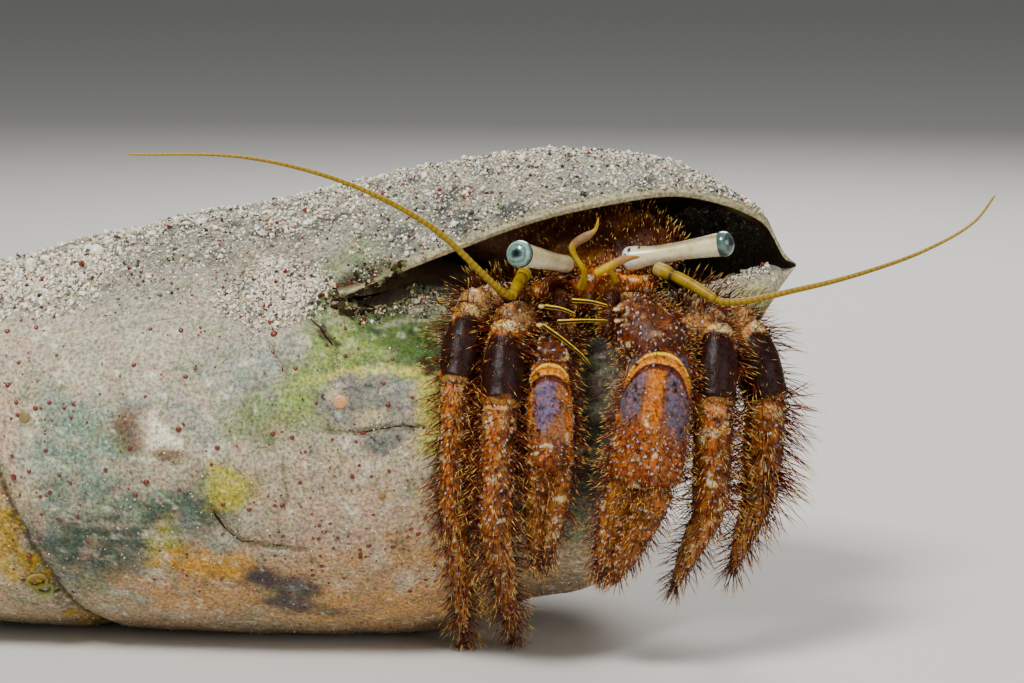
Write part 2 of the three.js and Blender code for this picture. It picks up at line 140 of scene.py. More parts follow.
def turn_from(degrees, angle):
    """Radians from a direction in degrees round to an angle, at most half a turn either way."""
    return np.mod(angle - math.radians(degrees) + math.pi, 2 * math.pi) - math.pi


# ---------------------------------------------------------------- meshes


def grid_faces(rows, columns, closed=True):
    """The quads of a grid of points, row by row. A closed grid joins its last column to its first."""
    corner = np.arange(rows - 1)[:, None] * columns
    a = np.arange(columns if closed else columns - 1)
    b = (a + 1) % columns
    return np.stack([corner + a, corner + b, corner + b + columns, corner + a + columns], -1).reshape(-1, 4)


def tube_faces(rows, columns):
    """The faces of a tube whose two end points come after its rings."""
    a = np.arange(columns)
    b = (a + 1) % columns
    start = np.stack([b, a, np.full(columns, rows * columns)], -1)
    top = (rows - 1) * columns
    end = np.stack([top + a, top + b, np.full(columns, rows * columns + 1)], -1)
    return [grid_faces(rows, columns), np.vstack([start, end])]


def signed_volume(points, faces):
    """Six times the volume inside the faces: negative where they are wound inwards."""
    total = 0.0
    for group in faces:
        a = points[group[:, 0]]
        for i in range(1, group.shape[1] - 1):
            total += np.sum(a * np.cross(points[group[:, i]], points[group[:, i + 1]]))
    return total


def in_scene(name, data):
    """A new object in the scene."""
    thing = bpy.data.objects.new(name, data)
    bpy.context.scene.collection.objects.link(thing)
    return thing


def add_piece(name, material, slot, points, faces, tint, replaces=(), patches=None, flat=False):
    """A piece of the crab from points in millimetres, riding on the root body.
    patches are the faces' corners on an unwrap for baking, for a coat."""
    points = np.asarray(points, float)
    if signed_volume(points, faces) < 0:
        faces = [group[:, ::-1] for group in faces]
    mesh = bpy.data.meshes.new(name)
    mesh.vertices.add(len(points))
    mesh.vertices.foreach_set("co", (points * MM).ravel())
    corners = np.concatenate([group.ravel() for group in faces])
    sizes = np.concatenate([np.full(len(group), group.shape[1]) for group in faces])
    mesh.loops.add(len(corners))
    mesh.loops.foreach_set("vertex_index", corners)
    mesh.polygons.add(len(sizes))
    mesh.polygons.foreach_set("loop_start", np.cumsum(sizes) - sizes)
    mesh.update(calc_edges=True)
    if flat:
        mesh.shade_flat()
    else:
        mesh.shade_smooth()
    stored = mesh.attributes.new("tint", "FLOAT_COLOR", "POINT")
    stored.data.foreach_set("color", np.c_[np.clip(tint, 0, 1), np.ones(len(tint))].ravel())
    if patches is not None:
        unwrap = mesh.uv_layers.new(name="OFBake")
        unwrap.data.foreach_set("uv", patches[corners].ravel())
    mesh.materials.append(material)
    piece = in_scene(name, mesh)
    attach(piece, "root")
    if replaces:
        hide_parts(*replaces)
    return piece


def joined(parts):
    """Points, faces and tints of several parts as one. Each part has its own points, faces and tints."""
    faces, count = [], 0
    for points, groups, _ in parts:
        faces += [group + count for group in groups]
        count += len(points)
    return np.vstack([part[0] for part in parts]), faces, np.vstack([part[2] for part in parts])


def with_ends(grid, start, end):
    """A grid of points or tints in a row, and what stands at the two ends after them."""
    return np.vstack([grid.reshape(-1, 3), start, end])


def circle(count):
    """Angles that go evenly round a circle."""
    return 2 * math.pi * np.arange(count) / count


def spun(across, over, angle):
    """Directions turned from across towards over by an angle."""
    return across * np.cos(angle)[..., None] + over * np.sin(angle)[..., None]


def sweep(route, halves, columns, facing=FRONT):
    """Rings round a route of points. halves are half widths."""
    route = np.asarray(route, float)
    way = unit(np.gradient(route, axis=0))
    across = unit(np.cross(way, facing))
    deep = np.cross(across, way)
    halves = np.broadcast_to(halves, len(route))[:, None, None]
    return route[:, None] + spun(across[:, None], deep[:, None], circle(columns)) * halves


def curve_through(points, count):
    """A smooth route of count points through some points."""
    points = np.asarray(points, float)
    steps = np.linalg.norm(np.diff(points, axis=0), axis=1)
    knots = np.concatenate([[0], np.cumsum(steps)]) / steps.sum()
    where = np.linspace(0, 1, count)
    return np.stack([along(np.c_[knots, points[:, axis]], where) for axis in range(3)], -1)


def closed_tube(route, halves, columns, facing=FRONT):
    """Points and faces of a tube with pointed or rounded ends at its route's ends."""
    rings = sweep(route, halves, columns, facing)
    return with_ends(rings, route[0], route[-1]), tube_faces(*rings.shape[:2])


def dome(share):
    """Half widths over a rounded end, by the share of the way to its tip."""
    return np.sqrt(np.clip(1 - np.clip(share, 0, 1) ** 2, 0, 1))


def closing(halves, t, tip, root, blunt):
    """Half widths that close quickly towards both ends of a tube, whose root stays blunt."""
    return halves * np.sqrt(np.clip((1 - t) * tip, 0, 1)) * np.sqrt(np.clip(t * root + blunt, 0, 1))


def ring_tints(count, code):
    """A tint of one colour for a number of points."""
    return one_colour(code, np.zeros((count, 3)))


def on_unwrap(across, up):
    """Places on the unwrap, inside its margin, from two shares."""
    return np.stack([across, up], -1) * 0.97 + 0.015


BRISTLE_RINGS = np.array([0, 0.38, 0.7, 0.78])  # where its rings lie, as shares of its length
BRISTLE_SHARES = np.append(np.repeat(BRISTLE_RINGS, 3), 1)  # the same for all its points, the tip last
BRISTLE_POINTS = len(BRISTLE_SHARES)
BRISTLE_BEND = 0.08  # of its length
BRISTLE_PATCH = 0.003  # its size on the unwrap


def bristle_mesh(roots, ways, lengths, thick, random, unwrap, droop):
    """Points, faces, share along and unwrap of many three-sided, tapering, slightly curved bristles."""
    count = len(roots)
    side = unit(np.cross(ways, random.normal(size=(count, 3))))
    over = np.cross(ways, side)
    bow = (side * random.normal(0, BRISTLE_BEND, (count, 1)) + droop) * lengths[:, None]
    reach = ways * lengths[:, None]
    place = BRISTLE_RINGS[:, None]
    centres = roots[:, None] + reach[:, None] * place + bow[:, None] * place**2
    radii = thick[:, None] * (1 - 0.5 * BRISTLE_RINGS)
    turned = spun(side[:, None], over[:, None], circle(3))
    rings = centres[:, :, None] + turned[:, None] * radii[:, :, None, None]
    tips = roots + reach + bow
    points = np.concatenate([rings.reshape(count, -1, 3), tips[:, None]], 1)
    start = BRISTLE_POINTS * np.arange(count)[:, None, None]
    quads = grid_faces(4, 3)[None] + start
    tops = np.array([[9, 10, 12], [10, 11, 12], [11, 9, 12], [2, 1, 0]])[None] + start
    share = np.broadcast_to(BRISTLE_SHARES, (count, BRISTLE_POINTS))
    spread = np.stack([np.tile([0, 1, 2], 5)[:BRISTLE_POINTS] / 2, BRISTLE_SHARES], -1) - 0.5
    patches = unwrap[:, None] + BRISTLE_PATCH * spread[None]
    faces = [quads.reshape(-1, 4), tops.reshape(-1, 3)]
    return points.reshape(-1, 3), faces, share.ravel(), patches.reshape(-1, 2)


# ---------------------------------------------------------------- places from the frame
END_DEPTH = 1.5  # how far the end of a node goes in


def vectors_of(vertices, what):
    """The places or the normals of a mesh's vertices."""
    flat = np.zeros(len(vertices) * 3)
    vertices.foreach_get(what, flat)
    return flat.reshape(-1, 3)


def node_points(node):
    """The points of a node of the frame, in millimetres."""
    return vectors_of(NODES[node].data.vertices, "co") / MM


def middle(points):
    """The middle of the box round some points."""
    return (points.min(0) + points.max(0)) / 2


def meeting(a, b):
    """The middle of the cut between two neighbouring nodes."""
    here, there = node_points(a), node_points(b)
    gap = np.linalg.norm(here[:, None] - there[None], axis=2).min(1)
    return middle(here[gap < 0.9])


def far_end(node, start):
    """The middle of the end of a node that is farthest from a point."""
    points = node_points(node)
    away = np.linalg.norm(points - start, axis=1)
    return middle(points[away > away.max() - END_DEPTH])


# ---------------------------------------------------------------- the camera
# Its aim is measured from the middle of the face.
CAMERA = {"lens": 100, "sensor": 36, "elevation": 9, "distance": 284, "aim": (-8, 3.2, -5.6)}


def add_camera():
    """The camera that gives the scene its framing."""
    look_at = middle(node_points("face")) + CAMERA["aim"]
    tilt = math.radians(CAMERA["elevation"])
    data = bpy.data.cameras.new("camera")
    data.lens = CAMERA["lens"]
    data.sensor_width = CAMERA["sensor"]
    camera = in_scene("camera", data)
    back = np.array([0, -math.cos(tilt), math.sin(tilt)]) * CAMERA["distance"]
    camera.location = (look_at + back) * MM
    camera.rotation_euler = (math.pi / 2 - tilt, 0, 0)
    bpy.context.scene.camera = camera


add_camera()

# ---------------------------------------------------------------- materials


def look(name, roughness, grain, spread, bump, hue=0.0, speckle=None, coat=0.0, gloss=0.5, subsurface=0.0):
    """A surface coloured by its piece's tint, with finer grain in colour, roughness and relief.
    grain is the size of the finest lumps, spread their contrast and bump their depth, in millimetres. hue is
    how far red, green and blue stray apart. speckle is (size, share, dark) of small darker flecks."""
    made = bpy.data.materials.new(name)
    made.use_nodes = True
    nodes = made.node_tree.nodes
    links = made.node_tree.links
    shader = nodes["Principled BSDF"]
    place = nodes.new("ShaderNodeTexCoord").outputs["Object"]

    def fine_noise(size, detail):
        """Noise with lumps of a size in millimetres."""
        texture = nodes.new("ShaderNodeTexNoise")
        texture.inputs["Scale"].default_value = 1 / (size * MM)
        texture.inputs["Detail"].default_value = detail
        texture.inputs["Roughness"].default_value = 0.62
        links.new(place, texture.inputs["Vector"])
        return texture

    def stretch(value, low, high, new_low, new_high):
        """A value moved from one range to another."""
        ramp = nodes.new("ShaderNodeMapRange")
        for socket, number in zip(ramp.inputs[1:5], (low, high, new_low, new_high)):
            socket.default_value = number
        links.new(value, ramp.inputs["Value"])
        return ramp.outputs["Result"]

    def times(base, factor):
        """A colour made lighter or darker."""
        product = nodes.new("ShaderNodeVectorMath")
        product.operation = "SCALE"
        links.new(base, product.inputs[0])
        links.new(factor, product.inputs["Scale"])
        return product.outputs["Vector"]

    tint = nodes.new("ShaderNodeAttribute")
    tint.attribute_name = "tint"
    grainy = fine_noise(grain, 4).outputs["Fac"]
    base = times(tint.outputs["Color"], stretch(grainy, 0.36, 0.64, 1 - spread, 1 + spread))
    if hue:
        ramp = nodes.new("ShaderNodeMapRange")
        ramp.data_type = "FLOAT_VECTOR"
        for socket, number in zip(ramp.inputs[7:11], (0.35, 0.65, 1 - hue, 1 + hue)):
            socket.default_value = (number, number, number)
        links.new(fine_noise(grain * 2.3, 3).outputs["Color"], ramp.inputs["Vector"])
        product = nodes.new("ShaderNodeVectorMath")
        product.operation = "MULTIPLY"
        links.new(base, product.inputs[0])
        links.new(ramp.outputs["Vector"], product.inputs[1])
        base = product.outputs["Vector"]
    if speckle:
        size, share, dark = speckle
        flecks = fine_noise(size, 1).outputs["Fac"]
        base = times(base, stretch(flecks, share - 0.03, share + 0.03, dark, 1))
    links.new(base, shader.inputs["Base Color"])
    links.new(stretch(grainy, 0.3, 0.7, roughness - 0.1, roughness + 0.12), shader.inputs["Roughness"])
    relief = nodes.new("ShaderNodeBump")
    relief.inputs["Distance"].default_value = bump * MM
    links.new(fine_noise(grain * 1.7, 5).outputs["Fac"], relief.inputs["Height"])
    links.new(relief.outputs["Normal"], shader.inputs["Normal"])
    shader.inputs["Specular IOR Level"].default_value = gloss
    shader.inputs["Coat Weight"].default_value = coat
    shader.inputs["Coat Roughness"].default_value = 0.15
    shader.inputs["Subsurface Weight"].default_value = subsurface
    shader.inputs["Subsurface Scale"].default_value = 0.4 * MM
    return made


SHELL_LOOK = look("shell_crust", roughness=0.75, grain=0.34, spread=0.5, hue=0.09, bump=0.16,
                  speckle=(0.24, 0.33, 0.62), gloss=0.35)
GRAIN_LOOK = look("sand_grains", roughness=0.4, grain=0.2, spread=0.2, bump=0.02)
FUZZ_LOOK = look("threads_and_cracks", roughness=0.8, grain=0.3, spread=0.25, bump=0.01, gloss=0.15)
CUTICLE_LOOK = look("cuticle", roughness=0.42, grain=0.26, spread=0.4, hue=0.12, bump=0.05,
                    speckle=(0.22, 0.34, 0.5), gloss=0.18)
BRISTLE_LOOK = look("bristles", roughness=0.35, grain=0.3, spread=0.2, bump=0.005, gloss=0.2)
STALK_LOOK = look("eyestalk_skin", roughness=0.3, grain=0.5, spread=0.08, bump=0.004, coat=0.3,
                  subsurface=0.3)
FEELER_LOOK = look("feeler_skin", roughness=0.4, grain=0.3, spread=0.2, bump=0.01, gloss=0.25)
SOFT_LOOK = look("soft_skin", roughness=0.5, grain=0.4, spread=0.35, hue=0.1, bump=0.05, gloss=0.15)
DOT_LOOK = look("red_dots", roughness=0.3, grain=0.2, spread=0.1, bump=0.005, coat=0.3)
EYE_LOOK = look("cornea", roughness=0.12, grain=0.2, spread=0.08, bump=0.001, coat=1.0)

# ---------------------------------------------------------------- the shell's spiral
SHELL = {
    "rise": 5.7,  # degrees by which the axis climbs from the apex to the mouth
    "length": 140,
    "lift_start": 112,  # where the axis starts to bend up towards the canal
    "canal_lift": 10.5,
    "canal_rake": 0.7,  # how far its underside slopes back for each millimetre under the axis
    "mouth_start": 94.2,  # where the outer lip leaves the whorl before it
    "mouth_angle": 40,
    "lip_twist": 0.65,
    "whorl_ratio": 1.68,
    "suture_depth": 0.9,
    "suture_width": 1.9,
    "bulge": 0.5,
    "rim": 0.55,  # thickness of the lip's edge
    "wall": 1.9,
    "hollow_turns": 0.62,
    "thinnest_floor": 0.35,
    "tip_radius": 2.5,
    "tip_length": 8,
    "tightening": [(94.2, 8), (104, 2.6), (118, 2.4), (134, 1.1)],
    "mouth_height": [
        (94.2, 0), (95.8, 1.5), (101, 3), (106, 6.2), (112, 9.8), (120, 11.4), (130, 11.4), (137, 6),
        (140, 2),
    ],
    "profile": [
        (0, 0), (0.8, 1), (26, 9.1), (52, 17.2), (78, 21.3), (94, 22.8), (106, 24), (115, 24.3), (123, 21.7),
        (128, 18.7), (132, 14.7), (135, 10.9), (137.2, 7.2), (138.8, 2.2), (140, 0),
    ],
}
WIDEST = 24.4  # the largest radius of the profile, a little rounded up
SHELL_STEP = 0.36  # between the shell's points
WELD_DISTANCE = 0.004
TIP_PLACES = [0.001, 0.1, 0.25]  # the first of them closes the apex
SHELL_WARMTH = (0.93, 0.93, 0.8)  # the whole crust is a little yellow
RISE = math.radians(SHELL["rise"])
AXIS = np.array([math.cos(RISE), 0, math.sin(RISE)])
ACROSS = np.array([-math.sin(RISE), 0, math.cos(RISE)])
GROWTH = math.log(SHELL["whorl_ratio"])
SHELL_POINTS = node_points("shell")
APEX = SHELL_POINTS[SHELL_POINTS[:, 0].argmin()]


def on_shell(s, angle, radius):
    """Points at a distance along the axis, an angle above the front and a radius."""
    s, angle, radius = np.broadcast_arrays(s, angle, radius)
    bend = np.clip((s - SHELL["lift_start"]) / (SHELL["length"] - SHELL["lift_start"]), 0, 1) ** 2
    raked = s - SHELL["canal_rake"] * bend * np.maximum(0, -radius * np.sin(angle))
    rise = radius * np.sin(angle) + SHELL["canal_lift"] * bend
    forward = radius * np.cos(angle)
    return APEX + AXIS * raked[..., None] + FRONT * forward[..., None] + ACROSS * rise[..., None]


def lip_angle(s):
    """Radians above the front of the outer lip's edge."""
    return np.radians(SHELL["mouth_angle"] + SHELL["lip_twist"] * np.maximum(0, s - SHELL["mouth_start"]))


def angle_at(s, turns):
    """Radians above the front of a place that lies some turns back from the lip."""
    return lip_angle(s) + 2 * math.pi * turns


def lip_radius(s):
    """Radius of the outside just behind the lip."""
    return along(SHELL["profile"], s)


def floor_radius(s):
    """Radius under the mouth. It equals the lip's where there is no mouth."""
    lip = lip_radius(s)
    height = along(SHELL["mouth_height"], np.maximum(s, SHELL["mouth_start"]))
    return np.where(s <= SHELL["mouth_start"], lip, np.maximum(lip - height, SHELL["thinnest_floor"] * lip))


def whorl_at(s, turns):
    """Whorls in from the last one: whole numbers lie on the suture."""
    return np.log(SHELL["mouth_start"] / np.maximum(s, 1)) / GROWTH - turns


def suture_distance(s, turns):
    """Millimetres along the axis from the nearest suture."""
    whorl = whorl_at(s, turns)
    return (whorl - np.maximum(0, np.round(whorl))) * s * GROWTH


def outer_radius(s, turns):
    """Radius of the outside, where turns counts back from the lip, from 0 to 1."""
    s, turns = np.broadcast_arrays(np.asarray(s, float), np.asarray(turns, float))
    plain = mix(lip_radius(s), floor_radius(s), turns ** along(SHELL["tightening"], s))
    whorl = whorl_at(s, turns)
    size = np.minimum(1, s / SHELL["mouth_start"])
    bulge = np.where(whorl >= -1, np.sin(math.pi * (whorl - np.floor(whorl))), 0)
    worn = np.where(np.round(whorl) <= 0, np.clip(turns * 1.4, 0, 1) ** 2, 1)
    groove = np.exp(-((suture_distance(s, turns) / (SHELL["suture_width"] * size)) ** 2)) * worn
    radius = plain + size * (SHELL["bulge"] * bulge - SHELL["suture_depth"] * groove)
    return np.where(s < 1, plain, radius)


def chamber(mouth_s, turns):
    """Place along the axis, low and high radius of the hollow that leaves the mouth at mouth_s."""
    shrink = SHELL["whorl_ratio"] ** -turns
    s = mouth_s * shrink
    height = lip_radius(mouth_s) - floor_radius(mouth_s)
    rim = np.minimum(SHELL["rim"], 0.4 * height)
    high = outer_radius(s, turns) - mix(rim, SHELL["wall"], fade(turns, 0, 0.06))
    low = floor_radius(mouth_s) * shrink - 0.2 * fade(turns, 0, 0.05)
    closing = np.clip(turns / SHELL["hollow_turns"], 0, 1) ** 4
    high = mix(high, low, closing)
    return s, np.minimum(low, high), high


# ---------------------------------------------------------------- the shell's colours and crust
# Films and stains on the shell, broad ones first, and a painted shade behind the claws: what each is, its
# colour and strength, and where it lies, as place along the axis, degrees above the front, half length and
# half height.
FILMS = [
    ("mauve crust", "aca294", 0.7, [(60, 60, 26, 14), (78, 30, 16, 12)]),
    ("grey crust", "8d918c", 0.75, [(56, 20, 9, 9), (86, 24, 6, 5), (72, -30, 9, 4)]),
    ("teal film", "6c8a7e", 0.75, [(66, 4, 5, 6), (70, 10, 4, 3), (74, -12, 6, 4)]),
    ("dark teal film", "48564b", 1.0, [(67, -22, 7, 6), (74, -15, 7, 4), (80, -10, 4, 3)]),
    ("rose crust", "bd9f8a", 0.85, [(92, -18, 10, 10), (97, -28, 9, 5), (62, 12, 4, 8)]),
    ("orange belly", "c8965f", 0.85, [(86, -42, 19, 6), (97, -44, 10, 8), (76, -40, 8, 3)]),
    ("violet flames", "4c4144", 1.0, [(84, -35, 3, 2), (87, -38, 4, 2), (87, -46, 5, 2)]),
    ("yellow film", "b0a438", 1.0, [(75, -21, 3, 3), (82, -5, 3, 3)]),
    ("amber film", "d4982c", 1.0, [(77, -27, 5, 2), (81, -30, 3, 2)]),
    ("green callus", "42601a", 1.0, [(98, 26, 9, 6), (93, 31, 3, 7)]),
    ("thin green film", "6c7d42", 0.9, [(97, 48, 3, 5), (91, 22, 3, 8), (88, 14, 6, 3)]),
    ("lime film", "8a9c50", 0.8, [(94, 25, 4, 3), (90, 17, 3, 3)]),
    ("dark moss", "47581e", 0.85, [(100, 33, 6, 3), (103, -4, 3, 10), (103, -18, 2, 6)]),
    ("yellow border", "c2bd5c", 0.95, [(96, 18, 6, 1), (101, 10, 3, 4)]),
    ("slate scar", "76736f", 1.0, [(95, 10, 5, 3)]),
    ("sand on the scar", "b9a684", 0.8, [(96, 8, 2, 1), (93, 13, 1, 1)]),
    ("white scar", "f0e7d0", 1.0, [(75, 7, 2, 2), (77, 6, 1, 1)]),
    ("brown stain", "65432c", 0.9, [(73, 10, 2, 2), (76, 4, 2, 1)]),
    ("sandy whorl", "c5a67c", 0.85, [(56, -24, 5, 9), (52, -10, 8, 12)]),
    ("golden growth", "cda52c", 0.9, [(58, -22, 3, 5)]),
    # Painted shade: a dark brown patch where the claws and the shell's mouth lie in shadow.
    ("painted shade behind the claws", "33261a", 0.92, [(115, -8, 11, 15), (122, 30, 11, 10)]),
    ("lip moss", "6f7d3a", 0.9, [(133, 12, 5, 6)]),
]
CRISP = ("green callus", "yellow border", "slate scar", "white scar")  # films with a sharp edge
# Other patches: place along the axis, degrees above the front, half length and half height.
SAND_HEAP = (88, 44, 6, 4)
CALLUS = (98, 27, 9, 6.5)
NOTCH = (97.5, 41, 5, 1.6)  # where the lip starts
# The notch's hollow, which is painted darker.
NOTCH_DARKENING = (97.5, 41, 6, 2.6)
NOTCH_CRUST = (98, 40, 7, 3)
NOTCH_WEED = (98, 40, 6.5, 4)
SCAR_WEED = (92, 8, 3.5, 6)
BORDER_WEED = (92, 8, 7, 1.2)
DOT_CLUSTER = (87, 40, 4, 3)
# Cracks: points on the spiral's surface by place along the axis and degrees above the front, and half width.
CRACKS = [
    ([(80, -12), (81, -18), (82.5, -22), (84.5, -23)], 0.2),
    ([(85, -23.5), (86.5, -24), (88.5, -25)], 0.12),
    ([(87, 29), (88, 24), (88.5, 20)], 0.1),
    ([(87.5, -2), (87.5, -8), (87, -13)], 0.08),
    ([(92, 5.5), (95, 4.5), (98.5, 5), (101.5, 4)], 0.14),
    ([(90.5, 37), (92.5, 30), (93.5, 24), (93, 20)], 0.14),
]


def shell_turns(s, angle):
    """Turns back from the lip of a point of the outside."""
    return np.mod((angle - lip_angle(s)) / (2 * math.pi), 1)


def surface_offset(s, angle, s0, degrees):
    """Millimetres over the surface from a place to each point, along the axis and round it."""
    return s - s0, turn_from(degrees, angle) * lip_radius(s)


def patch(s, angle, place, low, high, ragged=0.0, shift=(0, 0)):
    """1 inside a rounded patch of the surface, given as in the lists above, and 0 outside it. The edge fades
    between two shares of the half sizes. ragged roughens it. shift is added to the distances from the middle,
    in millimetres."""
    s0, degrees, length, height = place
    ds, da = surface_offset(s, angle, s0, degrees)
    away = np.hypot((ds + shift[0]) / length, (da + shift[1]) / height)
    return 1 - fade(away + ragged, low, high)


def crack_depth(s, angle):
    """From 0 to 1 in the middle of a crack."""
    deepest = np.zeros_like(s)
    for route, half in CRACKS:
        for (s0, d0), (s1, d1) in zip(route, route[1:]):
            a = np.stack(surface_offset(s, angle, s0, d0), -1)
            leg = np.array(surface_offset(np.array(s1), np.array(math.radians(d1)), s0, d0))
            t = np.clip((a @ leg) / (leg @ leg), 0, 1)
            away = np.linalg.norm(a - t[..., None] * leg, axis=-1)
            deepest = np.maximum(deepest, 1 - fade(away, half, half * 2.6 + 0.15))
    return deepest


def sand_cover(points, s, angle):
    """How thickly sand grains lie, from 0 on the belly to 1 on the top."""
    up = np.degrees(turn_from(0, angle))
    before_back = 1 - fade(up, 128, 170)
    top = fade(up, 38, 72) * before_back
    lip_side = fade(s, 92, 104) * fade(up, 36, 52) * before_back
    heap = patch(s, angle, SAND_HEAP, 0.5, 1.2)
    lumps = cloud(points, 9, 4, seed=5)
    return np.clip(np.maximum(top, lip_side) + 0.9 * heap + 0.45 * lumps * (top > 0.02), 0, 1)


def shell_relief(points, s, angle, turns):
    """Height of the worn, overgrown surface over the plain spiral."""
    size = np.minimum(1, s / 50)
    lumps = 0.34 * cloud(points, 17, 3, seed=1) + 0.1 * cloud(points, 3.2, 3, seed=2)
    crust = 0.22 * sand_cover(points, s, angle) * (1 + 0.7 * cloud(points, 1.6, 2, seed=3))
    ridges = 0.05 * noise(np.stack([s * 0.25, turns * 120, 0 * s], -1), 1.0, seed=4)
    callus = patch(s, angle, CALLUS, 0.75, 1.0)
    notch = patch(s, angle, NOTCH, 0.4, 1.2)
    pits = np.clip(cloud(points, 1.3, 2, seed=9) - 0.55, 0, 1) * callus
    cracks = crack_depth(s, angle)
    return (lumps + crust + ridges - 0.28 * callus - 0.9 * notch - 0.8 * pits - 0.35 * cracks) * size


def film_tint(tint, points, s, angle, small, grain):
    """The tint under all the films, and how little later mottles show."""
    drift_s = 2.4 * cloud(points, 7, 3, seed=16)
    drift_a = 2.4 * cloud(points, 7, 3, seed=17)
    ragged = 0.34 * small + 0.3 * grain
    clean = np.zeros_like(s)
    for film, code, strength, places in FILMS:
        crisp = film in CRISP
        low, high = (0.66, 1.06) if crisp else (0.3, 1.3)
        for place in places:
            loose = min(1.4, 0.42 * min(place[2:]))
            mask = patch(s, angle, place, low, high, ragged, (loose * drift_s, loose * drift_a))
            tint = blend(tint, code, mask * strength)
            if crisp:
                clean = np.maximum(clean, mask)
    return tint, clean


def shell_tint(points, s, angle, turns):
    """Colour of the outside."""
    broad = cloud(points, 14, 4, seed=11)
    small = cloud(points, 2.4, 4, seed=12)
    grain = cloud(points, 0.8, 3, seed=18)
    streaks = noise(np.stack([s * 0.16, turns * 170, 0 * s], -1), 1.0, seed=13)
    ground = [("8f948a", fade(broad, -0.1, 0.7)), ("bda58c", fade(-broad, 0.0, 0.8) * 0.8)]
    tint = layered(one_colour("a89e8a", points), ground)
    tint, clean = film_tint(tint, points, s, angle, small, grain)
    mottle = 1 - 0.7 * clean
    below = -np.sin(angle)
    callus = patch(s, angle, CALLUS, 0.7, 1.0)
    scribble = 1 - fade(np.abs(cloud(points, 1.1, 3, seed=35)), 0.03, 0.1)
    sand = sand_cover(points, s, angle)
    suture = suture_distance(s, turns)
    away = np.abs(suture)
    seam = (1 - fade(away, 0.1, 0.55)) * fade(turns, 0.25, 0.5) * fade(s, 4, 14)
    fringe = (1 - fade(away, 1.2, 3.4)) * fade(turns, 0.6, 0.75) * (suture > 0)
    notch = patch(s, angle, NOTCH_DARKENING, 0.5, 1.1, 0.2 * small)
    tint = layered(tint, [
        ("b5885c", fade(below, 0.66, 0.93) * 0.6 * fade(s, 40, 70)),
        ("6e5648", fade(below, 0.34, 0.72) * fade(streaks, 0.1, 0.8) * 0.45),
        ("e6ddcd", fade(small, 0.3, 0.8) * 0.5 * mottle),
        ("505248", fade(-small, 0.3, 0.8) * 0.5 * mottle),
        ("c8bfae", fade(streaks, 0.35, 0.9) * 0.3),
        ("c69a8c", fade(cloud(points, 1.7, 3, seed=31), 0.2, 0.7) * 0.4 * mottle),
        ("74865f", fade(cloud(points, 1.9, 3, seed=32), 0.25, 0.7) * 0.5 * mottle),
        ("828b9c", fade(cloud(points, 2.6, 3, seed=33), 0.25, 0.7) * 0.25 * mottle),
        ("3d382e", fade(grain, 0.4, 0.75) * 0.35 * mottle),
        ("efe8da", fade(-grain, 0.4, 0.75) * 0.5),
        ("d3e0a4", scribble * callus * fade(small, -0.2, 0.4) * 0.45),
        ("1c2a12", fade(cloud(points, 1.3, 2, seed=9), 0.5, 0.62) * callus * 0.9),
        ("7f7c78", sand * 0.8),
        ("3d4143", sand * fade(cloud(points, 2.6, 4, seed=14), 0.0, 0.45) * 0.9),
        ("3a2a14", seam * 0.9),
        ("a8861c", fringe * fade(cloud(points, 2.2, 3, seed=15), -0.3, 0.2)),
        ("54400f", fringe * fade(cloud(points, 1.0, 3, seed=19), 0.1, 0.5) * 0.8),
        ("5f5138", crack_depth(s, angle) * 0.5),
        # The notch's hollow, painted dark.
        ("2a1a0a", notch * 0.95),
    ])
    return tint * SHELL_WARMTH


def spiral_grid():
    """Places along the axis and turns of the outside's grid of points, and its first row in the mouth."""
    before = int(SHELL["mouth_start"] / SHELL_STEP)
    within = int((SHELL["length"] - SHELL["mouth_start"]) / SHELL_STEP)
    ease = np.linspace(0, 1, within + 1)
    mouth = mix(SHELL["mouth_start"], SHELL["length"], np.sin(ease * math.pi / 2) ** 0.8 * 0.5 + ease * 0.5)
    spire = np.linspace(0.5, SHELL["mouth_start"], before, endpoint=False)
    places = np.concatenate([TIP_PLACES, spire, mouth])
    columns = int(2 * math.pi * 22 / SHELL_STEP)
    return places, np.linspace(0, 1, columns), before + len(TIP_PLACES)


def shell_outside():
    """Points, colours and grid size of the outside, from the lip over the back to the mouth's floor."""
    places, across, _ = spiral_grid()
    s, turns = np.meshgrid(places, across, indexing="ij")
    angle = angle_at(s, turns)
    blunt = SHELL["tip_radius"] * np.clip(s / SHELL["tip_length"], 0, 1)
    radius = np.maximum(outer_radius(s, turns), blunt * (s < SHELL["tip_length"] * 2))
    plain = on_shell(s, angle, radius)
    either_edge = np.maximum(1 - fade(turns, 0, 0.012), fade(turns, 0.985, 1))
    lip_edge = fade(s, SHELL["mouth_start"], 100) * either_edge
    height = shell_relief(plain, s, angle, turns) * (1 - lip_edge) * fade(SHELL["length"] - s, 0, 3)
    points = on_shell(s, angle, np.maximum(radius + height, 0))
    points[..., 2] = np.maximum(points[..., 2], 0)
    tint = shell_tint(plain, s, angle, turns)
    rim = (1 - fade(turns * radius * 2 * math.pi, 0.3, 1.6)) * fade(s, 96, 101)
    tint = blend(tint, "a39a72", rim * 0.8)
    return points, tint


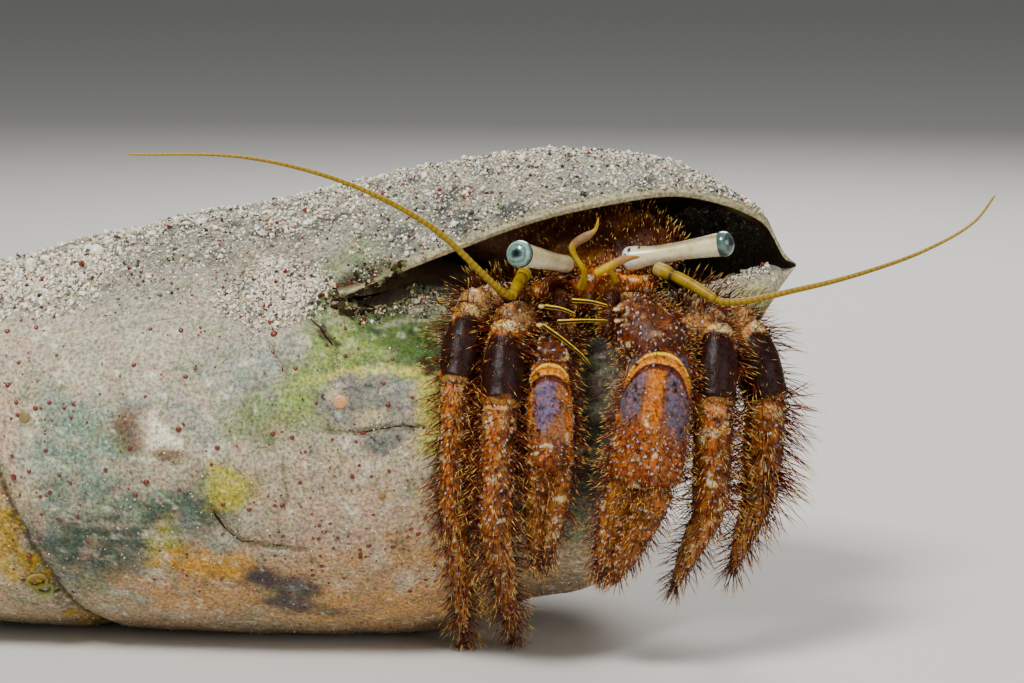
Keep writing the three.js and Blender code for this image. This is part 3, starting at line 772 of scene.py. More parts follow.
def shell_lining(edge):
    """Points and colours of the hollow: in along its floor, back along its ceiling, round the lip's edge."""
    places, _, start = spiral_grid()
    mouth = places[start:]
    depth = np.linspace(0, 1, 56) ** 1.6 * SHELL["hollow_turns"]
    mouth_s, turns = np.meshgrid(mouth, depth, indexing="ij")
    s, low, high = chamber(mouth_s, turns)
    angle = angle_at(mouth_s, turns)
    floor = on_shell(s, angle, low)
    roof = on_shell(s, angle, high)
    rough = 0.12 * cloud(roof, 2.5, 3, seed=21)[..., None] * fade(turns, 0.01, 0.05)[..., None]
    roof = roof + (floor - roof) * np.minimum(rough / 3, 0.2)
    tint_floor = layered(one_colour("4a3620", floor), [
        ("7d7a55", fade(cloud(floor, 3, 4, seed=22), 0.0, 0.6)),
        # Painted shade: the floor grows darker the deeper it goes into the hollow.
        ("1d1008", fade(turns, 0.02, 0.12)),
    ])
    tint_roof = layered(one_colour("4a2a14", roof), [
        ("7b7a34", fade(cloud(roof, 2.6, 4, seed=23), 0.0, 0.6) * fade(mouth_s, 122, 132)),
        ("8a8470", (1 - fade(turns, 0, 0.03)) * fade(mouth_s, 128, 137) * 0.8),
        ("a39a72", 1 - fade(turns, 0, 0.006)),
    ])
    round_edge = np.linspace(0, 1, 5)[1:-1, None]
    inner, outer = roof[:, :1], edge[start:, None]
    rim = mix(inner, outer, round_edge[None])
    rim_tint = one_colour("b3a982", rim)
    points = np.concatenate([floor, roof[:, ::-1], rim, outer], 1)
    tint = np.concatenate([tint_floor, tint_roof[:, ::-1], rim_tint, rim_tint[:, :1]], 1)
    return points, tint


def add_shell():
    """The shell as one piece, its outside and its hollow welded at the lip."""
    outside = shell_outside()
    lining = shell_lining(outside[0][:, 0])
    rows, columns = outside[0].shape[:2]
    outer_faces = grid_faces(rows, columns, closed=False)
    inner_faces = grid_faces(*lining[0].shape[:2], closed=False)[:, ::-1] + rows * columns
    points, tint = (np.vstack([a.reshape(-1, 3), b.reshape(-1, 3)]) for a, b in zip(outside, lining))
    faces = [outer_faces, inner_faces]
    piece = add_piece("shell_whorls", SHELL_LOOK, "shell", points, faces, tint, replaces=["shell"])
    weld(piece, WELD_DISTANCE)


def weld(piece, distance):
    """Joins the points of a piece that lie within a distance of each other."""
    body = bmesh.new()
    body.from_mesh(piece.data)
    bmesh.ops.remove_doubles(body, verts=body.verts, dist=distance * MM)
    bmesh.ops.dissolve_degenerate(body, edges=body.edges, dist=distance * MM / 10)
    bmesh.ops.recalc_face_normals(body, faces=body.faces)
    body.to_mesh(piece.data)
    body.free()
    piece.data.shade_smooth()


add_shell()


def ball(detail):
    """Points and faces of a unit ball of triangles: 8 of them, or 20, or 80."""
    if detail == 0:
        points = np.vstack([np.eye(3), -np.eye(3)])
        faces = [(0, 1, 2), (1, 3, 2), (3, 4, 2), (4, 0, 2), (1, 0, 5), (3, 1, 5), (4, 3, 5), (0, 4, 5)]
        return points, np.array(faces)
    gold = (1 + 5**0.5) / 2
    corners = [(a, b * gold, 0) for a in (-1, 1) for b in (-1, 1)]
    points = unit(np.array([np.roll(corner, k) for k in range(3) for corner in corners], float))
    near = np.linalg.norm(points[:, None] - points[None], axis=2) < 1.2
    faces = []
    for a in range(12):
        for b in range(a + 1, 12):
            for c in range(b + 1, 12):
                if near[a, b] and near[b, c] and near[a, c]:
                    turned = np.dot(points[a], np.cross(points[b], points[c])) > 0
                    faces.append((a, b, c) if turned else (a, c, b))
    return points, np.array(faces)


def split(points, faces):
    """Each triangle of a ball cut into four."""
    grown, known, fresh = list(points), {}, []

    def half(a, b):
        """The number of the point halfway between two others."""
        key = (min(a, b), max(a, b))
        if key not in known:
            known[key] = len(grown)
            grown.append(unit(points[a] + points[b]))
        return known[key]

    for a, b, c in faces:
        ab, bc, ca = half(a, b), half(b, c), half(c, a)
        fresh += [(a, ab, ca), (ab, b, bc), (ca, bc, c), (ab, bc, ca)]
    return np.array(grown), np.array(fresh)


PEBBLE = split(*ball(1))
STONE = split(*PEBBLE)


def scatter(shape, at, turns, sizes, unwrap):
    """Points, faces and unwrap of copies of a shape. turns are three directions for each copy."""
    points, faces = shape
    placed = at[:, None] + np.einsum("pk,nkj->npj", points, turns * sizes[..., None])
    count = len(at)
    patches = unwrap[:, None] + 0.0015 * points[None, :, :2]
    joined = (faces[None] + len(points) * np.arange(count)[:, None, None]).reshape(-1, 3)
    return placed.reshape(-1, 3), [joined], patches.reshape(-1, 2)


def shell_surface(s, turns):
    """Points and outward directions of the overgrown outside."""

    def at(place, turn):
        """Points of the outside with its relief."""
        turn = np.clip(turn, 0, 1)
        angle = angle_at(place, turn)
        radius = outer_radius(place, turn)
        plain = on_shell(place, angle, radius)
        return on_shell(place, angle, radius + shell_relief(plain, place, angle, turn))

    down = at(s + 0.3, turns) - at(s - 0.3, turns)
    around = at(s, turns + 0.003) - at(s, turns - 0.003)
    normal = unit(np.cross(down, around))
    here = at(s, turns)
    axis_point = on_shell(s, s * 0, s * 0)
    return here, normal * np.sign(np.sum(normal * (here - axis_point), -1, keepdims=True))


def shell_places(count, random, want, near=None):
    """Random places on the outside, kept by a share from a function of points, place, angle and turns. near
    keeps them round a place along the axis and its degrees above the front, within some millimetres."""
    if near:
        s0, degrees, reach = near
        s = s0 + reach * random.uniform(-1, 1, count)
        angle = math.radians(degrees) + reach * random.uniform(-1, 1, count) / lip_radius(s0)
        turns = np.clip(shell_turns(s, angle), 0.0002, 0.9998)
    else:
        s = 3 + 134 * random.uniform(size=count) ** 0.75
        turns = random.uniform(0.004, 0.996, count)
        s = s[random.uniform(size=len(s)) < lip_radius(s) / WIDEST]
        turns = turns[: len(s)]
    angle = angle_at(s, turns)
    plain = on_shell(s, angle, outer_radius(s, turns))
    keep = random.uniform(size=len(s)) < want(plain, s, angle, turns)
    return s[keep], turns[keep]


def shell_unwrap(s, turns):
    """Places on the unwrap of points of the outside."""
    return on_unwrap(np.clip(turns, 0, 1), s / SHELL["length"])


GRAIN_COLOURS = ["f6f0de", "e6dcc4", "d3c4a6", "a9a596", "7a7668", "2f2a20", "c7a878", "7c1d0e", "5f6b38"]
GRAIN_SHARES = [0.24, 0.2, 0.13, 0.12, 0.1, 0.09, 0.07, 0.03, 0.02]
HEAP_SHARES = [0.26, 0.34, 0.18, 0.07, 0.03, 0.02, 0.07, 0.03, 0]
WEED_SHARES = [0.04, 0.05, 0.06, 0.04, 0.12, 0.34, 0.1, 0.02, 0.4]


def add_sand(name, count, low, high, detail, want, shares=GRAIN_SHARES, near=None, by_side=False):
    """Sand grains stuck to the shell, from octahedra or rounder stones pushed out of shape. by_side makes two
    equal pieces of them, left and right."""
    random = random_for(name)
    s, turns = shell_places(count, random, want, near)
    at, normal = shell_surface(s, turns)
    bare = 1 - 0.45 * (sand_cover(at, s, angle_at(s, turns)) < 0.1)
    sizes = random.uniform(low, high, len(s)) * random.choice([0.7, 1.0, 1.3], len(s)) * bare
    at = at + normal * (sizes * random.uniform(0.1, 0.8, len(s)))[:, None]
    first = unit(random.normal(size=at.shape))
    second = unit(np.cross(first, random.normal(size=at.shape)))
    frames = np.stack([first, second, np.cross(first, second)], 1)
    stretch = sizes[:, None] * random.uniform(0.6, 1.35, at.shape)
    at[:, 2] = np.maximum(at[:, 2], stretch.max(1) + LOWEST)
    unwrap = shell_unwrap(s, turns)
    chosen = random.choice(len(GRAIN_COLOURS), len(s), p=np.array(shares) / sum(shares))
    tint = np.array([colour(code) for code in GRAIN_COLOURS])[chosen]
    tint = tint * random.uniform(0.75, 1.15, (len(s), 1))
    left = at[:, 0] < np.median(at[:, 0])
    pieces = {f"{name}_left": left, f"{name}_right": ~left} if by_side else {name: left | ~left}
    for piece, mine in pieces.items():
        points, faces, patches = scatter(ball(detail), at[mine], frames[mine], stretch[mine], unwrap[mine])
        whole = np.repeat(tint[mine], len(points) // mine.sum(), axis=0)
        add_piece(piece, GRAIN_LOOK, "shell", points, faces, whole, patches=patches, flat=detail == 0)


# The next functions say which share of the places tried keep a grain or a dot. shell_places calls them all
# with the same arguments, and some need only a few of these.


def sand_share(points, s, angle, turns):
    """Sand lies everywhere, and mostly on the top."""
    return sand_cover(points, s, angle) ** 1.2 + 0.11 + 0.1 * fade(cloud(points, 4, 3, seed=8), 0.1, 0.6)


def heap_share(points, s, angle, turns):
    """Pale heaps along the top."""
    up = np.degrees(turn_from(0, angle))
    heaps = fade(cloud(points, 5, 3, seed=6), 0.05, 0.6)
    top = fade(up, 52, 66) * (1 - fade(up, 100, 130))
    return np.clip(0.8 * heaps * top * (1 - fade(s, 88, 100)) + 0.05 * top, 0, 1)


def heap_round(place):
    """The share function of one heap of pale sand, which thins out at a ragged edge."""

    def share(points, s, angle, turns):
        """From 0 outside the heap to 0.9 inside."""
        return patch(s, angle, place, 0.35, 1.0, 0.35 * cloud(points, 2.5, 3, seed=7)) * 0.9

    return share


def notch_share(points, s, angle, turns):
    """Brown and green crust lines the notch where the lip starts."""
    return patch(s, angle, NOTCH_CRUST, 0.5, 1, 0.3 * cloud(points, 1.5, 2, seed=7)) * 0.9


def weed_share(points, s, angle, turns):
    """Thinner crust of the same kind lies round the notch and the scar, and along the suture."""
    notch = patch(s, angle, NOTCH_WEED, 0.5, 1)
    scar = patch(s, angle, SCAR_WEED, 0.5, 1) + patch(s, angle, BORDER_WEED, 0.5, 1, shift=(-5, 1.5))
    under = 1 - fade(np.abs(suture_distance(s, turns) - 0.7), 0.2, 1.3)
    seam = under * fade(turns, 0.5, 0.7) * (s > 40)
    return np.clip(notch + 0.45 * scar + 0.7 * seam, 0, 1)


add_sand("sand", 160000, 0.08, 0.16, 0, sand_share, by_side=True)
add_sand("sand_heap", 14000, 0.07, 0.2, 0, heap_round((88, 42, 6.5, 5.5)), HEAP_SHARES, near=(88, 42, 8))
add_sand("spire_heap", 18000, 0.09, 0.24, 0, heap_round((64, 64, 12, 7)), HEAP_SHARES, near=(64, 64, 13))
add_sand("notch_crust", 8000, 0.1, 0.3, 0, notch_share, WEED_SHARES, near=(98, 40, 9))
add_sand("sand_heaps", 90000, 0.14, 0.3, 0, heap_share, HEAP_SHARES)
add_sand("sand_stones", 15000, 0.14, 0.27, 1, lambda p, s, a, t: 0.35 * sand_cover(p, s, a))
add_sand("weed_crust", 60000, 0.08, 0.2, 0, weed_share, WEED_SHARES)


def on_crust(s, degrees, lift):
    """Points on the overgrown outside by place and degrees above the front, and outward directions."""
    angle = np.radians(degrees)
    at, normal = shell_surface(np.asarray(s, float), shell_turns(s, angle))
    return at + normal * lift, normal


def flat_frame(s, degrees, lift):
    """A point of the overgrown outside, two directions along it and the one outward."""
    centre, normal = on_crust(np.array([s]), np.array([degrees]), lift)
    across = unit(np.cross(normal, UP))
    return centre, across, np.cross(across, normal), normal


def add_cracks():
    """Fine dark cracks and scars, as ragged threads sunk in the crust."""
    parts = []
    for which, (route, half) in enumerate(CRACKS):
        s, degrees = curve_through(np.c_[np.array(route), np.zeros(len(route))], 60)[:, :2].T
        at, _ = on_crust(s, degrees, -0.03)
        at = at + 0.16 * np.stack([cloud(at, 1.1, 2, seed=81 + which + 7 * axis) for axis in range(3)], -1)
        closed_ends = np.sqrt(np.sin(math.pi * np.clip(np.linspace(0, 1, 60), 0.01, 0.99)))
        halves = 0.55 * half * (1 + 0.5 * cloud(at, 0.8, 2, seed=91)) * closed_ends
        thread, faces = closed_tube(at, np.maximum(halves, 0.02), 8)
        parts.append((thread, faces, ring_tints(len(thread), "22150a")))
    add_piece("cracks", FUZZ_LOOK, "shell", *joined(parts))


# Growths: place along the axis, degrees above the front and radius. Rings and discs also have a half
# thickness and a colour.
RING_GROWTHS = [
    (61, -36.5, 0.95, 0.2, "8a7424"),
    (61.5, -40.5, 0.8, 0.2, "6f7a22"),
    (62.5, -42, 0.55, 0.16, "54480f"),
]
DISCS = [
    (62.5, 17.5, 0.6, 0.16, "7a6a3c"),
    (93.5, 12.5, 0.7, 0.16, "c08a55"),
    (96.5, -12, 0.35, 0.14, "8a6a30"),
]
LUMPS = [(69.5, 74, 0.7), (68.5, 77, 0.45), (64, 77, 0.5), (62.5, 76, 0.6), (75, 78, 0.4), (80, 79, 0.35)]


def add_growths():
    """Ring-shaped growths by the suture, small discs, and lumps of white crust on the top."""
    parts = []
    for s, degrees, radius, half, code in RING_GROWTHS:
        centre, across, over, normal = flat_frame(s, degrees, 0.12)
        route = centre + radius * spun(across, 0.85 * over, np.linspace(0, 2 * math.pi, 48))
        halves = half * (1 + 0.3 * cloud(route, 0.6, 2, seed=5))
        ring, faces = closed_tube(route, halves, 10, facing=normal[0])
        parts.append((ring, faces, ring_tints(len(ring), code)))
    stone, stone_faces = STONE
    for s, degrees, radius, thick, code in DISCS:
        centre, across, over, normal = flat_frame(s, degrees, 0.02)
        disc = centre + stone[:, :1] * across * radius + stone[:, 1:2] * over * radius
        parts.append((disc + stone[:, 2:] * normal * thick, [stone_faces], ring_tints(len(disc), code)))
    random = random_for("lumps")
    for s, degrees, radius in LUMPS:
        centre, _ = on_crust(np.array([s]), np.array([degrees]), 0.3 * radius)
        rough = 1 + 0.3 * cloud(stone * 1.3, 1, 2, seed=int(s))[:, None]
        lump = stone * rough * radius * random.uniform(0.8, 1.2, 3)
        parts.append((centre + lump, [stone_faces], ring_tints(len(lump), "efe8d6")))
    add_piece("growths", GRAIN_LOOK, "shell", *joined(parts))


SCALE_COLOURS = ["2a190c", "41301a", "4c5626", "1c120a", "8a7c58"]
THREAD_COLOURS = ["4a3f26", "6d6a35", "2f2618", "8a8468"]
THREAD_THICK = 0.02


def add_notch_scales():
    """Flat, ragged brown and green scales that close the notch where the lip starts."""
    random = random_for("notch_scales")
    shape, shape_faces = PEBBLE
    parts = []
    for number in range(260):
        s = random.uniform(93.5, 100.5)
        degrees = math.degrees(float(lip_angle(np.array(s)))) - random.uniform(-1.2, 5.0)
        centre, normal = on_crust(np.array([s]), np.array([degrees]), random.uniform(0, 0.25))
        across = unit(np.cross(normal, random.normal(size=3)))
        over = np.cross(normal, across)
        ragged = shape * (1 + 0.5 * cloud(shape * 1.1 + number, 0.7, 2, seed=3)[:, None])
        wide, tall, thick = random.uniform(0.15, 0.45, 3) * (1, 1, 0.5)
        scale = centre + ragged[:, :1] * across * wide + ragged[:, 1:2] * over * tall
        code = SCALE_COLOURS[random.integers(len(SCALE_COLOURS))]
        parts.append((scale + ragged[:, 2:] * normal * thick, [shape_faces], ring_tints(len(shape), code)))
    add_piece("notch_scales", FUZZ_LOOK, "shell", *joined(parts), flat=True)


def add_threads():
    """Short algae threads on the top and round the notch."""
    random = random_for("threads")

    def share(points, s, angle, turns):
        """Few on the sand, more in the notch."""
        return 0.035 * sand_cover(points, s, angle) + 0.5 * weed_share(points, s, angle, turns) * (s > 80)

    s, turns = shell_places(26000, random, share)
    at, normal = shell_surface(s, turns)
    ways = unit(normal + UP * 0.3 + random.normal(0, 0.5, at.shape))
    lengths = random.gamma(3, 0.22, len(s))
    unwrap = shell_unwrap(s, turns)
    droop = random.normal(0, 0.35, at.shape)
    thick = np.full(len(s), THREAD_THICK)
    points, faces, _, patches = bristle_mesh(at, ways, lengths, thick, random, unwrap, droop)
    points[:, 2] = np.maximum(points[:, 2], LOWEST)
    codes = np.array([colour(code) for code in THREAD_COLOURS])
    tint = np.repeat(codes[random.integers(0, len(codes), len(s))], BRISTLE_POINTS, axis=0)
    add_piece("threads", FUZZ_LOOK, "shell", points, faces, tint, patches=patches)


def dot_share(points, s, angle, turns):
    """Red dots are commonest near the suture and on the side of the last whorl."""
    up = np.degrees(turn_from(0, angle))
    band = fade(up, -50, -30) * (1 - fade(up, 35, 75)) * fade(s, 46, 54)
    old = 1 - fade(s, 62, 69)
    side = fade(s, 80, 88) * (1 - fade(up, 5, 20)) * fade(up, -44, -30)
    cluster = patch(s, angle, DOT_CLUSTER, 0.4, 1)
    back = fade(np.abs(up), 120, 140)
    return np.clip(band * (0.3 + 0.7 * old + 0.3 * side + 0.9 * cluster) + 0.1 * back, 0, 1) * (s < 112)


def add_dots():
    """Small dark red growths like drops, each flattened on the shell."""
    random = random_for("red_dots")
    s, turns = shell_places(7500, random, dot_share)
    at, normal = shell_surface(s, turns)
    sizes = random.choice([0.13, 0.19, 0.25, 0.32], len(s), p=[0.4, 0.35, 0.2, 0.05])
    across = unit(np.cross(normal, random.normal(size=at.shape)))
    frames = np.stack([across, np.cross(normal, across), normal], 1)
    stretch = sizes[:, None] * np.array([1.0, 0.9, 0.6]) * random.uniform(0.85, 1.15, at.shape)
    points, faces, patches = scatter(PEBBLE, at, frames, stretch, shell_unwrap(s, turns))
    height = np.tile(PEBBLE[0][:, 2], len(s))
    shade = np.repeat(random.uniform(0.55, 1.2, len(s)), len(PEBBLE[0]))
    tint = blend(one_colour("520e05", points) * shade[:, None], "8f2c10", fade(height, 0.4, 1) * 0.6)
    add_piece("red_dots", DOT_LOOK, "shell", points, faces, tint, patches=patches)


add_dots()
add_cracks()
add_growths()
add_notch_scales()
add_threads()

# ---------------------------------------------------------------- bristles
BRISTLE_ROOT = "3d0d04"
BRISTLE_MIDDLE = "84300c"
BRISTLE_TIP = "ffce62"
LONGEST_BRISTLE = 1.15  # of its joint's usual bristle
BRISTLES_BY_A_BEAD = 3


def bristle_tint(share, shade):
    """Dark red at the root and straw gold in the last third. shade makes each bristle lighter or darker."""
    layers = [(BRISTLE_MIDDLE, fade(share, 0.1, 0.6)), (BRISTLE_TIP, fade(share, 0.7, 0.78))]
    return layered(ring_tints(len(share), BRISTLE_ROOT), layers) * shade[:, None]


def add_bristles(name, slot, thickness, roots, ways, lengths, unwrap, droop=0.0):
    """One piece of coat, from bristles whose roots lie on the skin. thickness is what a bristle starts from,
    and what each millimetre of its length adds. droop bends the tips."""
    random = random_for(name)
    thick = thickness[0] + thickness[1] * lengths
    points, faces, share, patches = bristle_mesh(roots, ways, lengths, thick, random, unwrap, droop)
    points[:, 2] = np.maximum(points[:, 2], LOWEST + 0.05 * share)
    shade = np.repeat(random.uniform(0.45, 1.2, len(roots)), BRISTLE_POINTS)
    add_piece(name, BRISTLE_LOOK, slot, points, faces, bristle_tint(share, shade), patches=patches)


# ---------------------------------------------------------------- limbs
OUT = unit(FRONT + UP)
PARTS = {"leg": ["merus", "carpus", "propodus", "dactyl"], "claw": ["merus", "carpus", "palm", "fingers"]}
# For each limb: half widths of the bare limb along each joint of it, in millimetres, how deep it is for its
# width, moves of its joints away from the frame's middles, and the length of each joint's usual bristle.
LIMBS = {
    "leg_3_right": {
        "halves": [[1.2, 1.6, 1.7], [1.3, 1.9, 1.7], [1.45, 1.5, 1.3], [1.25, 1.1, 0.75, 0.25]],
        "flat": 1.1,
        "shift": {2: (0.6, 0.4, 0), 3: (1.0, 0.8, 0)},
        "bristle": [2.4, 2.4, 3.0, 3.0],
    },
    "leg_2_right": {
        "halves": [[1.2, 1.7, 1.8], [1.4, 2.0, 1.8], [1.6, 1.7, 1.4], [1.4, 1.2, 0.8, 0.25]],
        "flat": 1.15,
        "bristle": [2.0, 2.0, 2.4, 3.0],
    },
    "claw_right": {
        "halves": [[1.2, 1.5, 1.5], [1.4, 1.9, 1.8], [1.7, 2.3, 2.2], [1.15, 1.05, 0.55]],
        "flat": 0.9,
        "bristle": [1.6, 1.7, 1.9, 2.3],
        "marks": {"carpus": "claw_carpus", "palm": "right_palm"},
        "arch": (1.3, 1.6, 0),
    },
    "claw_left": {
        "halves": [[1.5, 2.0, 2.2], [2.0, 3.0, 3.2], [2.8, 3.6, 3.4], [1.75, 1.6, 0.8]],
        "flat": 0.85,
        "bristle": [1.6, 1.5, 1.7, 2.2],
        "marks": {"carpus": "claw_carpus", "palm": "left_palm"},
        "arch": (1.7, 3.2, 5),
    },
    "leg_2_left": {
        "halves": [[1.2, 1.7, 1.8], [1.5, 2.1, 1.9], [1.8, 1.9, 1.6], [1.5, 1.3, 0.85, 0.25]],
        "flat": 1.1,
        "shift": {3: (0.6, 0, 0)},
        "bristle": [2.2, 2.2, 2.7, 2.8],
    },
    "leg_3_left": {
        "halves": [[1.2, 1.8, 2.0], [1.6, 2.3, 2.1], [1.9, 2.0, 1.6], [1.5, 1.3, 0.85, 0.25]],
        "flat": 1.05,
        "bristle": [2.6, 3.2, 3.9, 3.3],
    },
}
SKIN_STEP = 0.13  # between the points of a limb's skin
BEAD_SPACING = 0.72
BEAD_HEIGHT = 0.17
BEAD_WIDTHS = (0.06, 0.2)
HIDDEN_BEAD = 0.03  # width of a bead that a marking takes away
COAT_THICKNESS = (0.027, 0.008)
DARK_CUFF = "190301"  # the smooth dark band round each leg
# Markings, and some painted shade, by joint: place along it from 0 to 1, degrees from the middle of its front
# towards the crab's left, half length, half degrees, colour, strength and how bare of beads and bristles it
# is. The ground is first.
MARKS = {
    "merus": ["6e3512", (0.9, 0, 0.25, 90, "b9864a", 0.8, 0), (0.3, 0, 0.35, 180, "3f1608", 0.85, 0)],
    "carpus": [
        "8a4716",
        (0.08, 0, 0.2, 110, "b5702c", 0.8, 0.2),
        (0.12, 25, 0.09, 34, "ecd08a", 0.8, 0.3),
        (0.1, -35, 0.07, 30, "d9a850", 0.8, 0.3),
        (0.6, 5, 0.44, 110, DARK_CUFF, 0.98, 0.8),
        (1.0, 0, 0.09, 180, "bd8438", 0.8, 0.2),
    ],
    "propodus": [
        "8c521e",
        (0.05, 0, 0.13, 180, "c98f4a", 0.8, 0.2),
        (0.5, -20, 0.6, 26, "b9651c", 0.8, 0),
        # Painted shade: the next two marks darken the joint's side towards the crab's left and its back, away
        # from the key lamp.
        (0.2, 80, 0.6, 50, "451305", 0.85, 0),
        (0.5, 180, 0.6, 90, "3a1005", 0.8, 0),
    ],
    "dactyl": ["90561f", (0.4, 20, 0.6, 50, "b8742a", 0.8, 0), (0.97, 0, 0.1, 180, "3a1206", 0.7, 0)],
    "claw_carpus": [
        "43190a",
        (0.5, 0, 0.5, 60, "542a0e", 0.8, 0.4),
        (0.0, 0, 0.2, 180, "8a5a2c", 0.6, 0),
    ],
    "left_palm": [
        "8a4513",
        # Painted shade on the back and underside of the palm.
        (0.25, 180, 0.9, 85, "3d1507", 0.8, 0),
        (0.34, 0, 0.5, 85, "6a4026", 0.9, 0.6),
        (0.3, -44, 0.3, 26, "574e5c", 0.9, 0.8),
        (0.33, 44, 0.34, 28, "554c5e", 0.9, 0.8),
        (0.36, 0, 0.42, 15, "c2680f", 0.95, 0.6),
        (0.8, 0, 0.25, 60, "93490f", 0.7, 0),
        (0.0, 0, 0.12, 90, "4d1707", 0.9, 0.3),
        (0.2, -88, 0.08, 14, "f0d8a0", 1.0, 0.9),
    ],
    "right_palm": [
        "8f4712",
        # Painted shade on the back and underside of the palm.
        (0.25, 180, 0.9, 85, "3d1507", 0.8, 0),
        (0.34, 0, 0.42, 80, "8a5836", 0.9, 0.8),
        (0.34, -12, 0.28, 32, "5a5270", 0.9, 0.8),
        (0.36, -62, 0.34, 14, "c2711f", 0.95, 0.3),
        (0.4, 58, 0.4, 18, "c06a1d", 0.95, 0.3),
        (0.0, 0, 0.1, 90, "5a1d08", 0.9, 0.3),
    ],
    "fingers": ["754116", (0.5, 0, 0.6, 60, "a0601c", 0.7, 0), (1.0, 0, 0.2, 180, "3a1206", 0.7, 0)],
}


def limb_joints(nodes, shift):
    """The start, joints and tip of a limb's middle line."""
    cuts = [meeting(a, b) for a, b in zip(nodes, nodes[1:])]
    ends = [far_end(nodes[0], cuts[0]), *cuts, far_end(nodes[-1], cuts[-1])]
    return [end + shift.get(i, (0, 0, 0)) for i, end in enumerate(ends)]


def limb_surface(start, end, halves, flat, bow, tip, sideways=0.0):
    """A function from share along and angle round to points of a limb's joint, its length and mean girth."""
    reach = end - start
    length = np.linalg.norm(reach)
    way = reach / length
    outer = unit(OUT - (OUT @ way) * way)
    across = np.cross(outer, way)
    knots = np.linspace(0, 1, len(halves))
    near = min(0.45, halves[0] * 0.7 / length)
    far = min(0.45, halves[-1] * 0.7 / length)

    def surface(t, angle):
        """Points of the bare joint."""
        t, angle = np.broadcast_arrays(np.asarray(t, float), np.asarray(angle, float))
        width = along(np.c_[knots, halves], t)
        width = width * dome((near - t) / near) * dome((t - 1 + far) / far)
        if not tip:
            width = width * (1 + 0.08 * np.exp(-(((t - 0.9) / 0.06) ** 2)))
        curve = start + reach * t[..., None]
        curve = curve + (outer * bow + across * sideways) * np.sin(math.pi * t)[..., None]
        offset = across * np.sin(angle)[..., None] + outer * (flat * np.cos(angle))[..., None]
        return curve + offset * width[..., None]

    return surface, length, 2 * math.pi * np.mean(halves)


def normals_of(surface, t, angle):
    """Outward directions of a surface function."""
    step = 0.02
    down = surface(np.minimum(t + step, 0.999), angle) - surface(np.maximum(t - step, 0.001), angle)
    round_it = surface(t, angle + step) - surface(t, angle - step)
    normal = unit(np.cross(round_it, down))
    middle_line = (surface(t, angle) + surface(t, angle + math.pi)) / 2
    outward = np.sign(np.sum(normal * (surface(t, angle) - middle_line), -1, keepdims=True))
    return normal * np.where(outward == 0, 1, outward), unit(down)


def bead_places(length, girth, spacing, random):
    """Shares along and angles of the rows of beads round a joint of a limb."""
    rows = max(2, int(length / spacing))
    around = max(5, int(girth / spacing))
    row, column = np.meshgrid(np.arange(rows), np.arange(around), indexing="ij")
    t = (row + 0.5 + random.normal(0, 0.16, row.shape)) / rows
    angle = 2 * math.pi * (column + 0.5 * (row % 2) + random.normal(0, 0.16, row.shape)) / around
    return t.ravel(), angle.ravel() + random.uniform(0, 6)


def mark_mask(t, angle, mark, rough):
    """How far a marking covers each point."""
    centre, degrees, half_t, half_degrees = mark[:4]
    turn = np.degrees(turn_from(degrees, angle))
    away = np.hypot((t - centre) / half_t, turn / half_degrees)
    return 1 - fade(away + 0.32 * rough, 0.8, 1.08)


def arch_lines(t, angle, arch):
    """Millimetres below a palm's arched ridge, and how far round the palm the ridge reaches. arch is the
    palm's length, the ridge's place from the wrist, how far its sides come down, and its middle's degrees."""
    length, place, sides, degrees = arch
    turn = np.degrees(turn_from(degrees, angle))
    below = t * length - place - sides * (np.abs(turn) / 70) ** 2.4
    return below, (1 - fade(np.abs(turn), 56, 74)) * (below < 1.2)


# Lines of colour along a palm's ridge: colour, millimetres below it, and where each starts and ends to fade.
ARCH_LINES = [
    ("f2b52c", -0.3, 0.12, 0.25),
    ("c9720f", 0.18, 0.15, 0.3),
    ("e8952a", 0.5, 0.06, 0.16),
    ("46180a", 0.72, 0.06, 0.16),
]


def limb_tint(points, t, angle, marks, bead, seed, arch):
    """Colour of a limb's cuticle: ground, mottles, markings with some painted shade, dark pits and white
    beads.
    """
    rough = cloud(points, 1.3, 3, seed=seed)
    fine = cloud(points, 0.45, 2, seed=seed + 3)
    pale = cloud(points, 0.8, 2, seed=seed + 5)
    red = cloud(points, 0.7, 2, seed=seed + 6)
    tint = layered(one_colour(marks[0], points), [
        ("c47322", fade(rough + 0.4 * fine, 0.2, 0.7) * 0.75),
        ("300b03", fade(0.4 * fine - rough, 0.15, 0.6) * 0.75),
    ])
    bald = np.zeros_like(t)
    dark = np.zeros_like(t)
    for mark in marks[1:]:
        code, strength, bare = mark[4:]
        mask = mark_mask(t, angle, mark, rough)
        dark = mix(dark, code == DARK_CUFF, mask)
        tint = blend(tint, code, mask * strength)
        bald = mix(bald, bare, mask)
    tint = layered(tint, [
        ("7c240a", fade(red, 0.2, 0.5) * 0.4 * (1 - bald)),
        ("dcae62", fade(pale, 0.25, 0.6) * 0.65 * (1 - bald) ** 3),
        ("f0e2b8", fade(pale, 0.55, 0.8) * 0.6 * (1 - bald) ** 3),
    ])
    tint = layered(tint, [
        ("b0642a", fade(fine, 0.2, 0.6) * 0.5 * bald * (tint[..., 0] > 0.08)),
        ("260802", fade(-fine, 0.25, 0.65) * (0.8 - 0.4 * bald)),
    ])
    if arch:
        below, band = arch_lines(t, angle, arch)
        tint = blend(tint, "5a1f08", band * fade(below, -0.75, -0.5))
        for code, centre, low, high in ARCH_LINES:
            tint = blend(tint, code, band * (1 - fade(np.abs(below - centre), low, high)))
    bare_bead = fade(bald, 0.5, 0.75)
    return layered(tint, [
        ("220702", fade(bead, 0.04, 0.25) * (1 - fade(bead, 0.3, 0.55)) * 0.6),
        ("1c0a06", fade(bead, 0.35, 0.6) * bare_bead * (1 - dark)),
        ("c3cee0", fade(bead, 0.5, 0.85) * 0.9 * (1 - 0.85 * dark) * (1 - bare_bead)),
    ])


